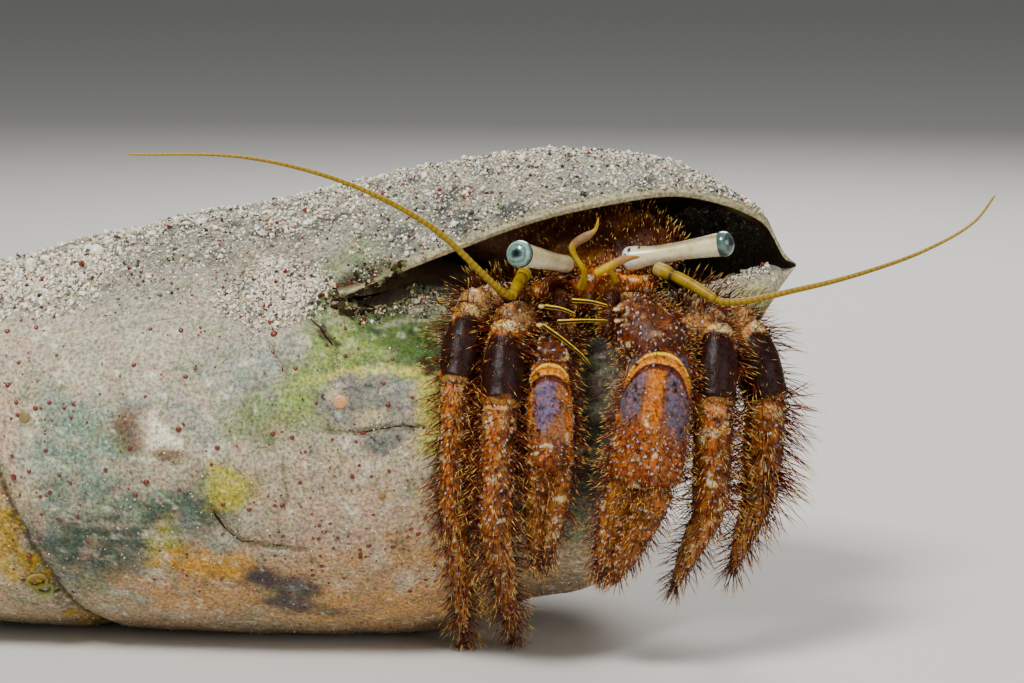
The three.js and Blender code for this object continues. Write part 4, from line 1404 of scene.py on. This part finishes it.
def bareness(t, angle, marks):
    """How bare of beads and bristles a limb's markings leave it, from 0 to 1."""
    bald = np.zeros_like(t)
    for mark in marks[1:]:
        bald = mix(bald, mark[6], mark_mask(t, angle, mark, 0))
    return bald


def nearest_bead(points, beads, reach):
    """How high up a bead each point lies, from 0 to 1. reach is the beads' width."""
    high = np.zeros(len(points))
    for low in range(0, len(points), 4000):
        away = np.linalg.norm(points[low : low + 4000, None] - beads[None], axis=2)
        high[low : low + 4000] = np.exp(-((away / reach) ** 2)).max(1)
    return high


def limb_joint(surface, length, girth, marks, random, seed, arch):
    """Points, faces and colours of one joint of a limb, and its bristles' roots."""
    rows = int(length / SKIN_STEP) + 12
    columns = int(girth / SKIN_STEP)
    t = (1 - np.cos(np.linspace(0, math.pi, rows))) / 2
    t = mix(t, np.linspace(0, 1, rows), 0.7)
    t, angle = np.meshgrid(t[1:-1], circle(columns), indexing="ij")
    plain = surface(t, angle)
    normal, _ = normals_of(surface, t, angle)
    bead_t, bead_angle = bead_places(length, girth, BEAD_SPACING, random)
    bald = bareness(bead_t, bead_angle, marks)
    at = surface(bead_t, bead_angle)
    shown = random.uniform(size=len(at)) > bald
    reach = np.where(shown, random.uniform(*BEAD_WIDTHS, len(at)), HIDDEN_BEAD)
    bead = nearest_bead(plain.reshape(-1, 3), at, reach).reshape(t.shape)
    lumps = 0.06 * cloud(plain, 1.6, 2, seed=seed + 7) + 0.03 * cloud(plain, 0.5, 2, seed=seed + 9)
    rise = BEAD_HEIGHT * bead + lumps
    if arch:
        below, band = arch_lines(t, angle, arch)
        ridge = 0.32 * np.exp(-(((below + 0.3) / 0.22) ** 2))
        second = 0.14 * np.exp(-(((below - 0.5) / 0.12) ** 2))
        rise = rise + band * (ridge + second) - 0.12 * band * fade(below, 0.6, 0.9)
    points = plain + normal * (rise * np.sin(math.pi * np.clip(t, 0, 1)) ** 0.3)[..., None]
    points[..., 2] = np.maximum(points[..., 2], LOWEST)
    tint = limb_tint(plain, t, angle, marks, bead, seed, arch)
    whole = with_ends(points, *surface(np.array([0.0, 1.0]), np.zeros(2)))
    rooted = random.uniform(size=len(at)) > bald * 0.9
    tint = with_ends(tint, tint[0, 0], tint[-1, 0])
    return whole, tube_faces(*t.shape), tint, (bead_t[rooted], bead_angle[rooted])


def limb_bristles(surface, places, length, bristle, random, tip, index):
    """Roots, directions, lengths, unwrap and droop of the bristles of a limb's joint: a few by each bead."""
    t = np.repeat(places[0], BRISTLES_BY_A_BEAD)
    angle = np.repeat(places[1], BRISTLES_BY_A_BEAD)
    t = np.clip(t + random.normal(0, 0.22, len(t)) / length + 0.02, 0.02, 0.985)
    angle = angle + random.normal(0, 0.13, len(t))
    normal, down = normals_of(surface, t, angle)
    lean = random.normal(0, 0.2, (len(t), 3))
    ways = unit(normal * 0.9 + down * 0.34 + lean)
    lengths = bristle * random.gamma(9, 1 / 9, len(t)) * random.choice([0.35, 0.7, 1.0, 1.2], len(t))
    lengths = np.minimum(lengths, LONGEST_BRISTLE * bristle)
    if tip:
        lengths = lengths * mix(1.0, 0.75, t)
        ways = unit(ways + down * (t**2)[:, None] * 0.7)
    unwrap = on_unwrap(np.mod(angle / (2 * math.pi), 1), (index + t) / 4)
    return surface(t, angle) - normal * 0.05, ways, lengths, unwrap, down * 0.13


def finger_shapes(start, end, halves, flat):
    """The two fingers of a claw side by side, their tips meeting."""
    reach = unit(end - start)
    outer = unit(OUT - (OUT @ reach) * reach)
    across = np.cross(outer, reach)
    for side in (-1, 1):
        apart = across * side * halves[0] * 0.92
        close = across * side * halves[-1] * 0.55
        yield limb_surface(start + apart, end + close, halves, flat, 0.2, True, side * 0.25)


def add_limb(limb, plan):
    """A limb's four joints, a piece for each, and one coat of bristles for them all."""
    random = random_for(limb)
    slot = limb.split("_")[0]
    flat = plan["flat"]
    nodes = [f"{limb}_{part}" for part in PARTS[slot]]
    joints = limb_joints(nodes, plan.get("shift", {}))
    coat = []
    for index, (part, node) in enumerate(zip(PARTS[slot], nodes)):
        start, end = joints[index], joints[index + 1]
        halves = plan["halves"][index]
        last = index == 3
        way = unit(end - start)
        start = start - way * halves[0] * 0.45
        end = end + way * halves[-1] * (0.0 if last else 0.35)
        marks = MARKS[plan.get("marks", {}).get(part, part)]
        if part == "fingers":
            shapes = list(finger_shapes(start, end, halves, flat))
        else:
            bow = 0.35 if part == "propodus" else 0.15
            shapes = [limb_surface(start, end, halves, flat, bow, last)]
        parts = []
        for which, (surface, length, girth) in enumerate(shapes):
            seed = 31 + 7 * index + which
            arch = (length, *plan["arch"]) if part == "palm" else None
            *skin, places = limb_joint(surface, length, girth, marks, random, seed, arch)
            parts.append(skin)
            coat.append(limb_bristles(surface, places, length, plan["bristle"][index], random, last, index))
        add_piece(node, CUTICLE_LOOK, slot, *joined(parts), replaces=[node])
    add_bristles(f"{limb}_bristles", slot, COAT_THICKNESS, *(np.concatenate(column) for column in zip(*coat)))


for limb_name, limb_plan in LIMBS.items():
    add_limb(limb_name, limb_plan)

# ---------------------------------------------------------------- the head
FACE = middle(node_points("face"))  # eyes, feelers and mouthparts are placed from here
# Both ends of each eyestalk's middle line.
EYES = {"right": [(-2.4, 0.3, 2.5), (-7.1, -7.4, 4.5)], "left": [(2.9, 0.3, 3.0), (12.3, -2.7, 4.9)]}
# Half widths of the eyestalks, by share of their length.
EYESTALK_HALVES = {
    "right": [(0, 0.85), (0.3, 0.86), (0.7, 1.05), (1, 1.18)],
    "left": [(0, 1.1), (0.1, 1.18), (0.3, 0.93), (0.6, 0.92), (1, 1.16)],
}
CORNEA_HALF = {"right": 1.34, "left": 1.26}
OUTLOOK = unit(FRONT + 0.16 * UP)  # both pupils turn a little this way
# The routes of the feelers' whips and bases, the small feelers and the outer mouthparts, from the face.
FLAGELLA = {
    "right": [
        (-8.0, -7.2, 0.4), (-8.5, -7.9, 0.7), (-15.8, -9.4, 7.5), (-23.5, -9.4, 11.5), (-33.1, -8.6, 13.9),
        (-44.6, -7.2, 14.1),
    ],
    "left": [
        (11.6, -6.5, 0.0), (12.4, -6.7, -0.2), (19.6, -7.0, 1.1), (25.6, -7.2, 2.7), (32, -7.2, 5.1),
        (36.3, -7.0, 7.7), (38.2, -6.8, 10.2),
    ],
}
PEDUNCLES = {"right": [(-6.7, -3.0, 2.2), (-8.0, -7.2, 0.4)], "left": [(5.9, -2.4, 2.6), (11.6, -6.5, 0.0)]}
ANTENNULES = {
    "right": [
        (-1.3, -2.6, 0.6), (-1.0, -4.6, 2.4), (-2.2, -5.6, 5.0), (-2.0, -5.7, 5.3), (0.0, -6.3, 6.8),
        (0.3, -6.5, 8.0),
    ],
    "left": [(0.0, -6.3, 2.5), (0.9, -6.4, 3.0), (1.8, -6.5, 3.5), (3.0, -6.6, 4.0), (4.3, -6.7, 4.2)],
}
ANTENNULE_STALK = [(1.7, -4.0, 1.3), (1.9, -5.6, 1.9), (1.4, -6.2, 2.7), (0.6, -6.3, 2.8)]
MAXILLIPEDS = {
    "right": [(-3.4, -2.2, 0.0), (-3.1, -5.7, -4.0)],
    "left": [(1.8, -2.2, 0.4), (1.2, -6.1, -3.7)],
}
WHIP_STEP = 0.11  # between the rings of a feeler's whip
MOUTHPART_THICKNESS = (0.03, 0.012)


def add_tube(name, material, slot, route, halves, tint, replaces=(), columns=24):
    """A tube whose tint is given for each of its rings."""
    points, faces = closed_tube(route, halves, columns)
    whole = with_ends(np.repeat(tint, columns, axis=0), tint[:1], tint[-1:])
    return add_piece(name, material, slot, points, faces, whole, replaces)


def add_eye(side):
    """An eyestalk, and the cornea at its end."""
    base, tip = (FACE + np.array(end) for end in EYES[side])
    way = unit(tip - base)
    length = np.linalg.norm(tip - base)
    t = np.linspace(0, 1, 90)
    halves = along(EYESTALK_HALVES[side], t) * dome((0.06 - t) / 0.06)
    route = base + way * (t * length)[:, None]
    rings = sweep(route, halves, 64)
    outward = unit(rings - route[:, None])
    top = outward[..., 2]
    front = outward @ FRONT
    grain = cloud(rings, 1.3, 3, seed=51)
    tint = layered(one_colour("d8c994", rings), [
        ("efe7c6", fade(-top, -0.3, 0.6) * 0.8),
        ("6f6148", fade(top + 0.25 * grain, 0.45, 0.95) * fade(t, 0.1, 0.35)[:, None] * 0.9),
        ("b9a05c", fade(grain + 0.3 * top, 0.2, 0.8) * 0.5),
    ])
    if side == "left":
        bulb = (1 - fade(t, 0.1, 0.2))[:, None] * np.ones_like(top)
        tint = blend(tint, "cfd6d8", bulb * 0.8)
        for place, tall, wide in ((0.06, 0.35, 0.16), (0.1, 0.75, 0.14), (0.2, 0.9, 0.1)):
            spot = np.hypot((t[:, None] - place) * length, top - tall)
            tint = blend(tint, "4a0f0c", (1 - fade(spot, wide, wide * 1.6)) * (front > 0))
    else:
        tint = blend(tint, "9c8a66", (1 - fade(t, 0.05, 0.3))[:, None] * 0.6 * np.ones_like(top))
    points = with_ends(rings, route[0], route[-1])
    tint = with_ends(tint, tint[0, :1], tint[-1, :1])
    node = f"eyestalk_{side}"
    add_piece(node, STALK_LOOK, "eyestalk", points, tube_faces(*rings.shape[:2]), tint, [node])
    add_cornea(side, tip, way)


def add_cornea(side, tip, way):
    """A bulging cap on the stalk, with a dark pupil inside paler rings."""
    polar = np.linspace(0, math.pi, 60)[1:-1]
    across = unit(np.cross(way, UP))
    over = np.cross(across, way)
    ring = spun(across, over, circle(72))
    half = CORNEA_HALF[side]
    depth = 0.78 * half
    centre = tip + way * 0.3
    lift = np.cos(polar) * depth
    spread = np.sin(polar) ** 0.85 * half
    points = centre + way * lift[:, None, None] + ring * spread[:, None, None]
    gaze = unit(way * 0.8 + OUTLOOK * 0.35)
    angle = np.degrees(np.arccos(np.clip(unit(points - centre) @ gaze, -1, 1)))
    grain = cloud(points, 0.3, 3, seed=61)
    rim, ground = ("7fa196", "46645f") if side == "right" else ("49665f", "16211f")
    tint = layered(one_colour("3c5650", points), [
        (rim, 1 - fade(np.abs(angle - 60 + 7 * grain), 5, 15)),
        (ground, 1 - fade(angle + 12 * grain, 40, 54)),
        (rim, (1 - fade(np.abs(angle - 34 + 12 * grain), 3, 9)) * 0.45),
        ("1a2423", (1 - fade(angle + 6 * grain, 20, 30)) * 0.8),
        ("010202", 1 - fade(angle, 13, 17)),
    ])
    faces = tube_faces(*points.shape[:2])
    points = with_ends(points, centre + way * depth, centre - way * depth)
    tint = with_ends(tint, tint[0, :1], tint[-1, :1])
    node = f"cornea_{side}"
    add_piece(node, EYE_LOOK, "cornea", points, faces, tint, [node])


def add_feeler(side):
    """A feeler's jointed base, and its long whip of fine rings."""
    base, elbow = (FACE + np.array(end) for end in PEDUNCLES[side])
    t = np.linspace(0, 1, 60)
    way = elbow - base
    route = base + way * t[:, None] + UP * (0.25 * np.sin(t * math.pi))[:, None]
    halves = along([(0, 0.7), (0.22, 0.66), (0.3, 0.5), (0.36, 0.56), (0.7, 0.52), (0.95, 0.46), (1, 0.5)], t)
    halves = halves * dome((np.abs(t - 0.5) - 0.45) / 0.05)
    tint = layered(ring_tints(len(t), "927400"), [
        ("3a2a04", 1 - fade(np.abs(t - 0.3), 0.01, 0.04)),
        ("d6c07a", (1 - fade(t, 0.05, 0.2)) * 0.6),
        ("6d5206", fade(np.sin(t * 23), 0.2, 1) * 0.5),
    ])
    node = f"antenna_{side}_base"
    add_tube(node, FEELER_LOOK, "feeler", route, halves, tint, [node])
    joints = FACE + np.array(FLAGELLA[side])
    reach = np.linalg.norm(np.diff(joints, axis=0), axis=1).sum()
    rings = int(reach / WHIP_STEP)
    t = np.linspace(0, 1, rings)
    ringed = np.cos(np.arange(rings) * 2 * math.pi / 5)
    halves = closing(mix(0.37, 0.11, t**0.8) * (1 + 0.04 * ringed), t, 60, 200, 0.3)
    layers = [("5a4402", fade(-ringed, 0.2, 1) * 0.6), ("a8893a", fade(t, 0.6, 1) * 0.5)]
    tint = layered(ring_tints(rings, "907200"), layers)
    node = f"antenna_{side}_whip"
    route = curve_through(joints, rings)
    add_tube(node, FEELER_LOOK, "feeler", route, halves, tint, [node, f"{node}_tip"], columns=16)


def add_antennule(side):
    """A small feeler between the eyes. The left one has a second, short stalk."""
    t = np.linspace(0, 1, 90)
    if side == "right":
        halves = [(0, 0.42), (0.3, 0.3), (0.5, 0.27), (0.6, 0.36), (0.76, 0.42), (0.86, 0.2), (1, 0.13)]
        code, blade = "735048", fade(t, 0.55, 0.66) * (1 - fade(t, 0.8, 0.88))
    else:
        halves = [(0, 0.36), (0.15, 0.42), (0.4, 0.38), (0.6, 0.42), (0.8, 0.26), (1, 0.1)]
        code, blade = "8a5a3c", fade(t, 0.35, 0.6)
    tint = blend(ring_tints(len(t), "b39000"), code, blade * 0.8)
    route = curve_through(FACE + np.array(ANTENNULES[side]), len(t))
    node = f"antennule_{side}"
    add_tube(node, FEELER_LOOK, "feeler", route, closing(along(halves, t), t, 16, 100, 0.2), tint, [node])
    if side == "left":
        stub = FACE + curve_through(ANTENNULE_STALK, 40)
        halves = along([(0, 0.3), (0.5, 0.34), (1, 0.2)], np.linspace(0, 1, 40))
        add_tube("antennule_left_stalk", FEELER_LOOK, "feeler", stub, halves, ring_tints(40, "9a7200"))


def add_maxilliped(side):
    """A jointed mouthpart and its bristles."""
    base, tip = (FACE + np.array(end) for end in MAXILLIPEDS[side])
    t = np.linspace(0, 1, 70)
    route = base + (tip - base) * t[:, None] + FRONT * (0.5 * np.sin(t * math.pi))[:, None]
    halves = along([(0, 0.8), (0.3, 0.85), (0.36, 0.6), (0.5, 0.8), (0.66, 0.55), (0.8, 0.6), (1, 0.4)], t)
    halves = closing(halves, t, 14, 60, 0.1)
    tint = blend(ring_tints(len(t), "3c1406"), "7a4214", fade(np.sin(t * 19), 0.5, 1) * 0.5)
    node = f"maxilliped_{side}"
    add_tube(node, CUTICLE_LOOK, "mouthpart", route, halves, tint, [node])
    random = random_for(f"{node}_bristles")
    row = random.integers(4, len(t) - 4, 260)
    turn = random.uniform(0, 1, len(row))
    reach = unit(tip - base)
    across = unit(np.cross(reach, FRONT))
    over = np.cross(across, reach)
    outward = spun(across, over, 2 * math.pi * turn)
    roots = route[row] + outward * (halves[row] - 0.04)[:, None]
    ways = unit(outward + 0.5 * reach + random.normal(0, 0.25, outward.shape))
    lengths = random.uniform(0.4, 1.1, len(row))
    unwrap = on_unwrap(turn, row / len(t))
    add_bristles(f"{node}_bristles", "mouthpart", MOUTHPART_THICKNESS, roots, ways, lengths, unwrap)


# Slim two-edged bars in front of the mouth: routes from the face, and the place of two bulbs where these
# don't stand at the bar's start.
MOUTH_BARS = [
    ([(-4.9, -6.8, -0.6), (-3.3, -7.1, -0.8), (-1.9, -6.9, -1.35)], None),
    ([(-2.3, -6.9, 0.0), (-0.5, -7.2, -0.1), (1.2, -6.9, -0.55)], (2.3, -6.7, -0.9)),
    ([(-3.7, -7.1, -2.05), (-1.3, -7.4, -1.9), (1.1, -7.1, -1.95)], (2.4, -6.9, -2.0)),
    ([(-5.1, -6.9, -2.4), (-2.8, -7.3, -4.0), (-1.4, -7.2, -5.2), (-0.5, -6.8, -6.3)], None),
]


def add_mouth_bars():
    """The bars by the mouth, each with two small bulbs at one of its ends."""
    stone, stone_faces = STONE
    edge = np.abs(np.cos(circle(24)))
    edged = blend(ring_tints(24, "140603"), "e2bd00", fade(edge, 0.5, 0.7))
    t = np.linspace(0, 1, 50)
    halves = mix(0.22, 0.13, t) * np.sqrt(np.clip(np.minimum(t, 1 - t) * 30 + 0.05, 0, 1))
    parts = []
    for joints, bulb in MOUTH_BARS:
        bar, faces = closed_tube(curve_through(FACE + np.array(joints), len(t)), halves, len(edge))
        parts.append((bar, faces, np.vstack([np.tile(edged, (len(t), 1)), edged[:2]])))
        socket = np.array(joints[0] if bulb is None else bulb) + (0, 0.25, 0)
        for seed, (across, size, code) in enumerate(((-0.25, 0.32, "d8b878"), (0.28, 0.26, "b06c24")), 1):
            rough = 1 + 0.25 * cloud(stone * 1.2, 1, 2, seed=seed)[:, None]
            lump = stone * rough * (size, size, 0.7 * size)
            rimmed = blend(ring_tints(len(stone), code), "3a1406", fade(np.abs(stone[:, 2]), 0.5, 0.9) * 0.8)
            parts.append((FACE + socket + (across, 0, 0.1 * across) + lump, [stone_faces], rimmed))
    add_piece("mouth_bars", FEELER_LOOK, "mouthpart", *joined(parts))


TRUNK = ["face", "shield", "carapace_rear", "abdomen_front", "abdomen_middle", "abdomen_tail"]
TRUNK_STEP = 0.4  # between the points of its skin
TRUNK_INSET = 0.45  # by which the skin is drawn in
TRUNK_THICKNESS = (0.034, 0.014)


def trunk_skin():
    """Points, outward directions and quads of one rounded skin round the trunk's nodes."""
    points, faces, count = [], [], 0
    for node in TRUNK:
        mesh = NODES[node].data
        mesh.calc_loop_triangles()
        corners = np.array([tri.vertices[:] for tri in mesh.loop_triangles])
        points.append(node_points(node))
        faces.append(corners + count)
        count += len(points[-1])
    mesh = bpy.data.meshes.new("trunk")
    mesh.from_pydata((np.vstack(points) * MM).tolist(), [], np.vstack(faces).tolist())
    body = in_scene("trunk", mesh)
    remesh = body.modifiers.new("remesh", "REMESH")
    remesh.mode = "VOXEL"
    remesh.voxel_size = TRUNK_STEP * MM
    smooth = body.modifiers.new("smooth", "SMOOTH")
    smooth.factor = 0.5
    smooth.iterations = 10
    done = bpy.data.meshes.new_from_object(body.evaluated_get(bpy.context.evaluated_depsgraph_get()))
    bpy.data.objects.remove(body)
    quads = np.array([face.vertices[:] for face in done.polygons])
    return vectors_of(done.vertices, "co") / MM, vectors_of(done.vertices, "normal"), quads


def add_trunk():
    """The skin of face, shield and abdomen, drawn in a little under its bristles."""
    points, normals, quads = trunk_skin()
    front = 1 - fade(points[:, 1], FACE[1] + 2, FACE[1] + 10)
    lumps = cloud(points, 1.8, 3, seed=71)
    fine = cloud(points, 0.7, 2, seed=72)
    skin = points + normals * (-TRUNK_INSET + 0.25 * lumps * front + 0.12 * fine * front)[:, None]
    high = fade(points[:, 2], FACE[2] + 2, FACE[2] + 5)
    glow = 1 - fade(np.linalg.norm(points - FACE - (1.6, -1.0, 3.2), axis=1), 1.2, 2.6)
    tint = layered(one_colour("7d360a", points), [
        ("b98a6a", (1 - front) * 0.8),
        ("3a0e04", fade(lumps, 0.0, 0.5) * front * 0.85),
        ("d98212", fade(-lumps, 0.05, 0.5) * front * 0.85),
        ("d4700a", glow * 0.9),
        # Painted shade: the high front of the shield, above the eyes, is painted nearly black.
        ("2c1206", high * front * 0.9 * (1 - glow)),
        ("e3d3b0", fade(fine, 0.5, 0.65) * front * (1 - high) * 0.7),
    ])
    add_piece("trunk_skin", SOFT_LOOK, "carapace", skin, [quads], tint, TRUNK)
    add_trunk_bristles(skin, normals, front)


def add_trunk_bristles(skin, normals, front):
    """Bristles of the face and shield, short on the face."""
    random = random_for("trunk_bristles")
    share = mix(0.45, 0.34, fade(skin[:, 2], FACE[2] + 1, FACE[2] + 4))
    kept = random.uniform(size=len(skin)) < share
    chosen = (front > 0.4) & (normals[:, 1] < 0.5) & kept
    roots, outward = skin[chosen], normals[chosen]
    high = fade(roots[:, 2], FACE[2] + 1, FACE[2] + 4)
    lean = random.normal(0, 0.25, outward.shape)
    ways = unit(outward * 0.8 + FRONT * 0.4 + UP * high[:, None] * 0.5 + lean)
    lengths = mix(0.8, 1.9, high) * random.uniform(0.5, 1.2, len(roots))
    turn = np.arctan2(roots[:, 0] - FACE[0], roots[:, 2] - FACE[2] + 8) / (2 * math.pi) + 0.5
    unwrap = on_unwrap(turn, fade(roots[:, 1], FACE[1] - 6, FACE[1] + 12))
    add_bristles("trunk_bristles", "carapace", TRUNK_THICKNESS, roots, ways, lengths, unwrap)


add_trunk()
add_mouth_bars()
for side_name in ("right", "left"):
    add_eye(side_name)
    add_feeler(side_name)
    add_antennule(side_name)
    add_maxilliped(side_name)

# ---------------------------------------------------------------- light and floor
FLOOR_HALF = 3.0  # metres
# Lamps: place from the face and size in millimetres, and power.
LAMPS = {
    "key": ((-200, -260, 440), 160, 4.4),
    "fill": ((360, -300, 160), 300, 0.9),
    "rim": ((60, 380, 300), 260, 2),
}


def add_floor():
    """A plain pale floor."""
    mesh = bpy.data.meshes.new("floor")
    corners = [(x * FLOOR_HALF, y * FLOOR_HALF, 0) for x, y in ((-1, -1), (1, -1), (1, 1), (-1, 1))]
    mesh.from_pydata(corners, [], [(0, 1, 2, 3)])
    paint = bpy.data.materials.new("floor")
    paint.use_nodes = True
    shader = paint.node_tree.nodes["Principled BSDF"]
    shader.inputs["Base Color"].default_value = (0.6, 0.58, 0.54, 1)
    shader.inputs["Roughness"].default_value = 0.8
    mesh.materials.append(paint)
    floor = in_scene("floor", mesh)


def add_light(name, place, size, power):
    """A square lamp that shines at the face."""
    data = bpy.data.lights.new(name, "AREA")
    data.size = size * MM
    data.energy = power
    lamp = in_scene(name, data)
    lamp.location = (FACE + place) * MM
    away = unit(np.array(place, float))
    lamp.rotation_euler = (math.acos(away[2]), 0, math.atan2(away[0], -away[1]))


def add_air():
    """A dim, even sky."""
    world = bpy.data.worlds.new("air")
    world.use_nodes = True
    sky = world.node_tree.nodes["Background"]
    sky.inputs["Color"].default_value = (0.75, 0.78, 0.8, 1)
    sky.inputs["Strength"].default_value = 0.22
    bpy.context.scene.world = world


add_floor()
add_air()
for lamp_name, (lamp_place, lamp_size, lamp_power) in LAMPS.items():
    add_light(lamp_name, lamp_place, lamp_size, lamp_power)
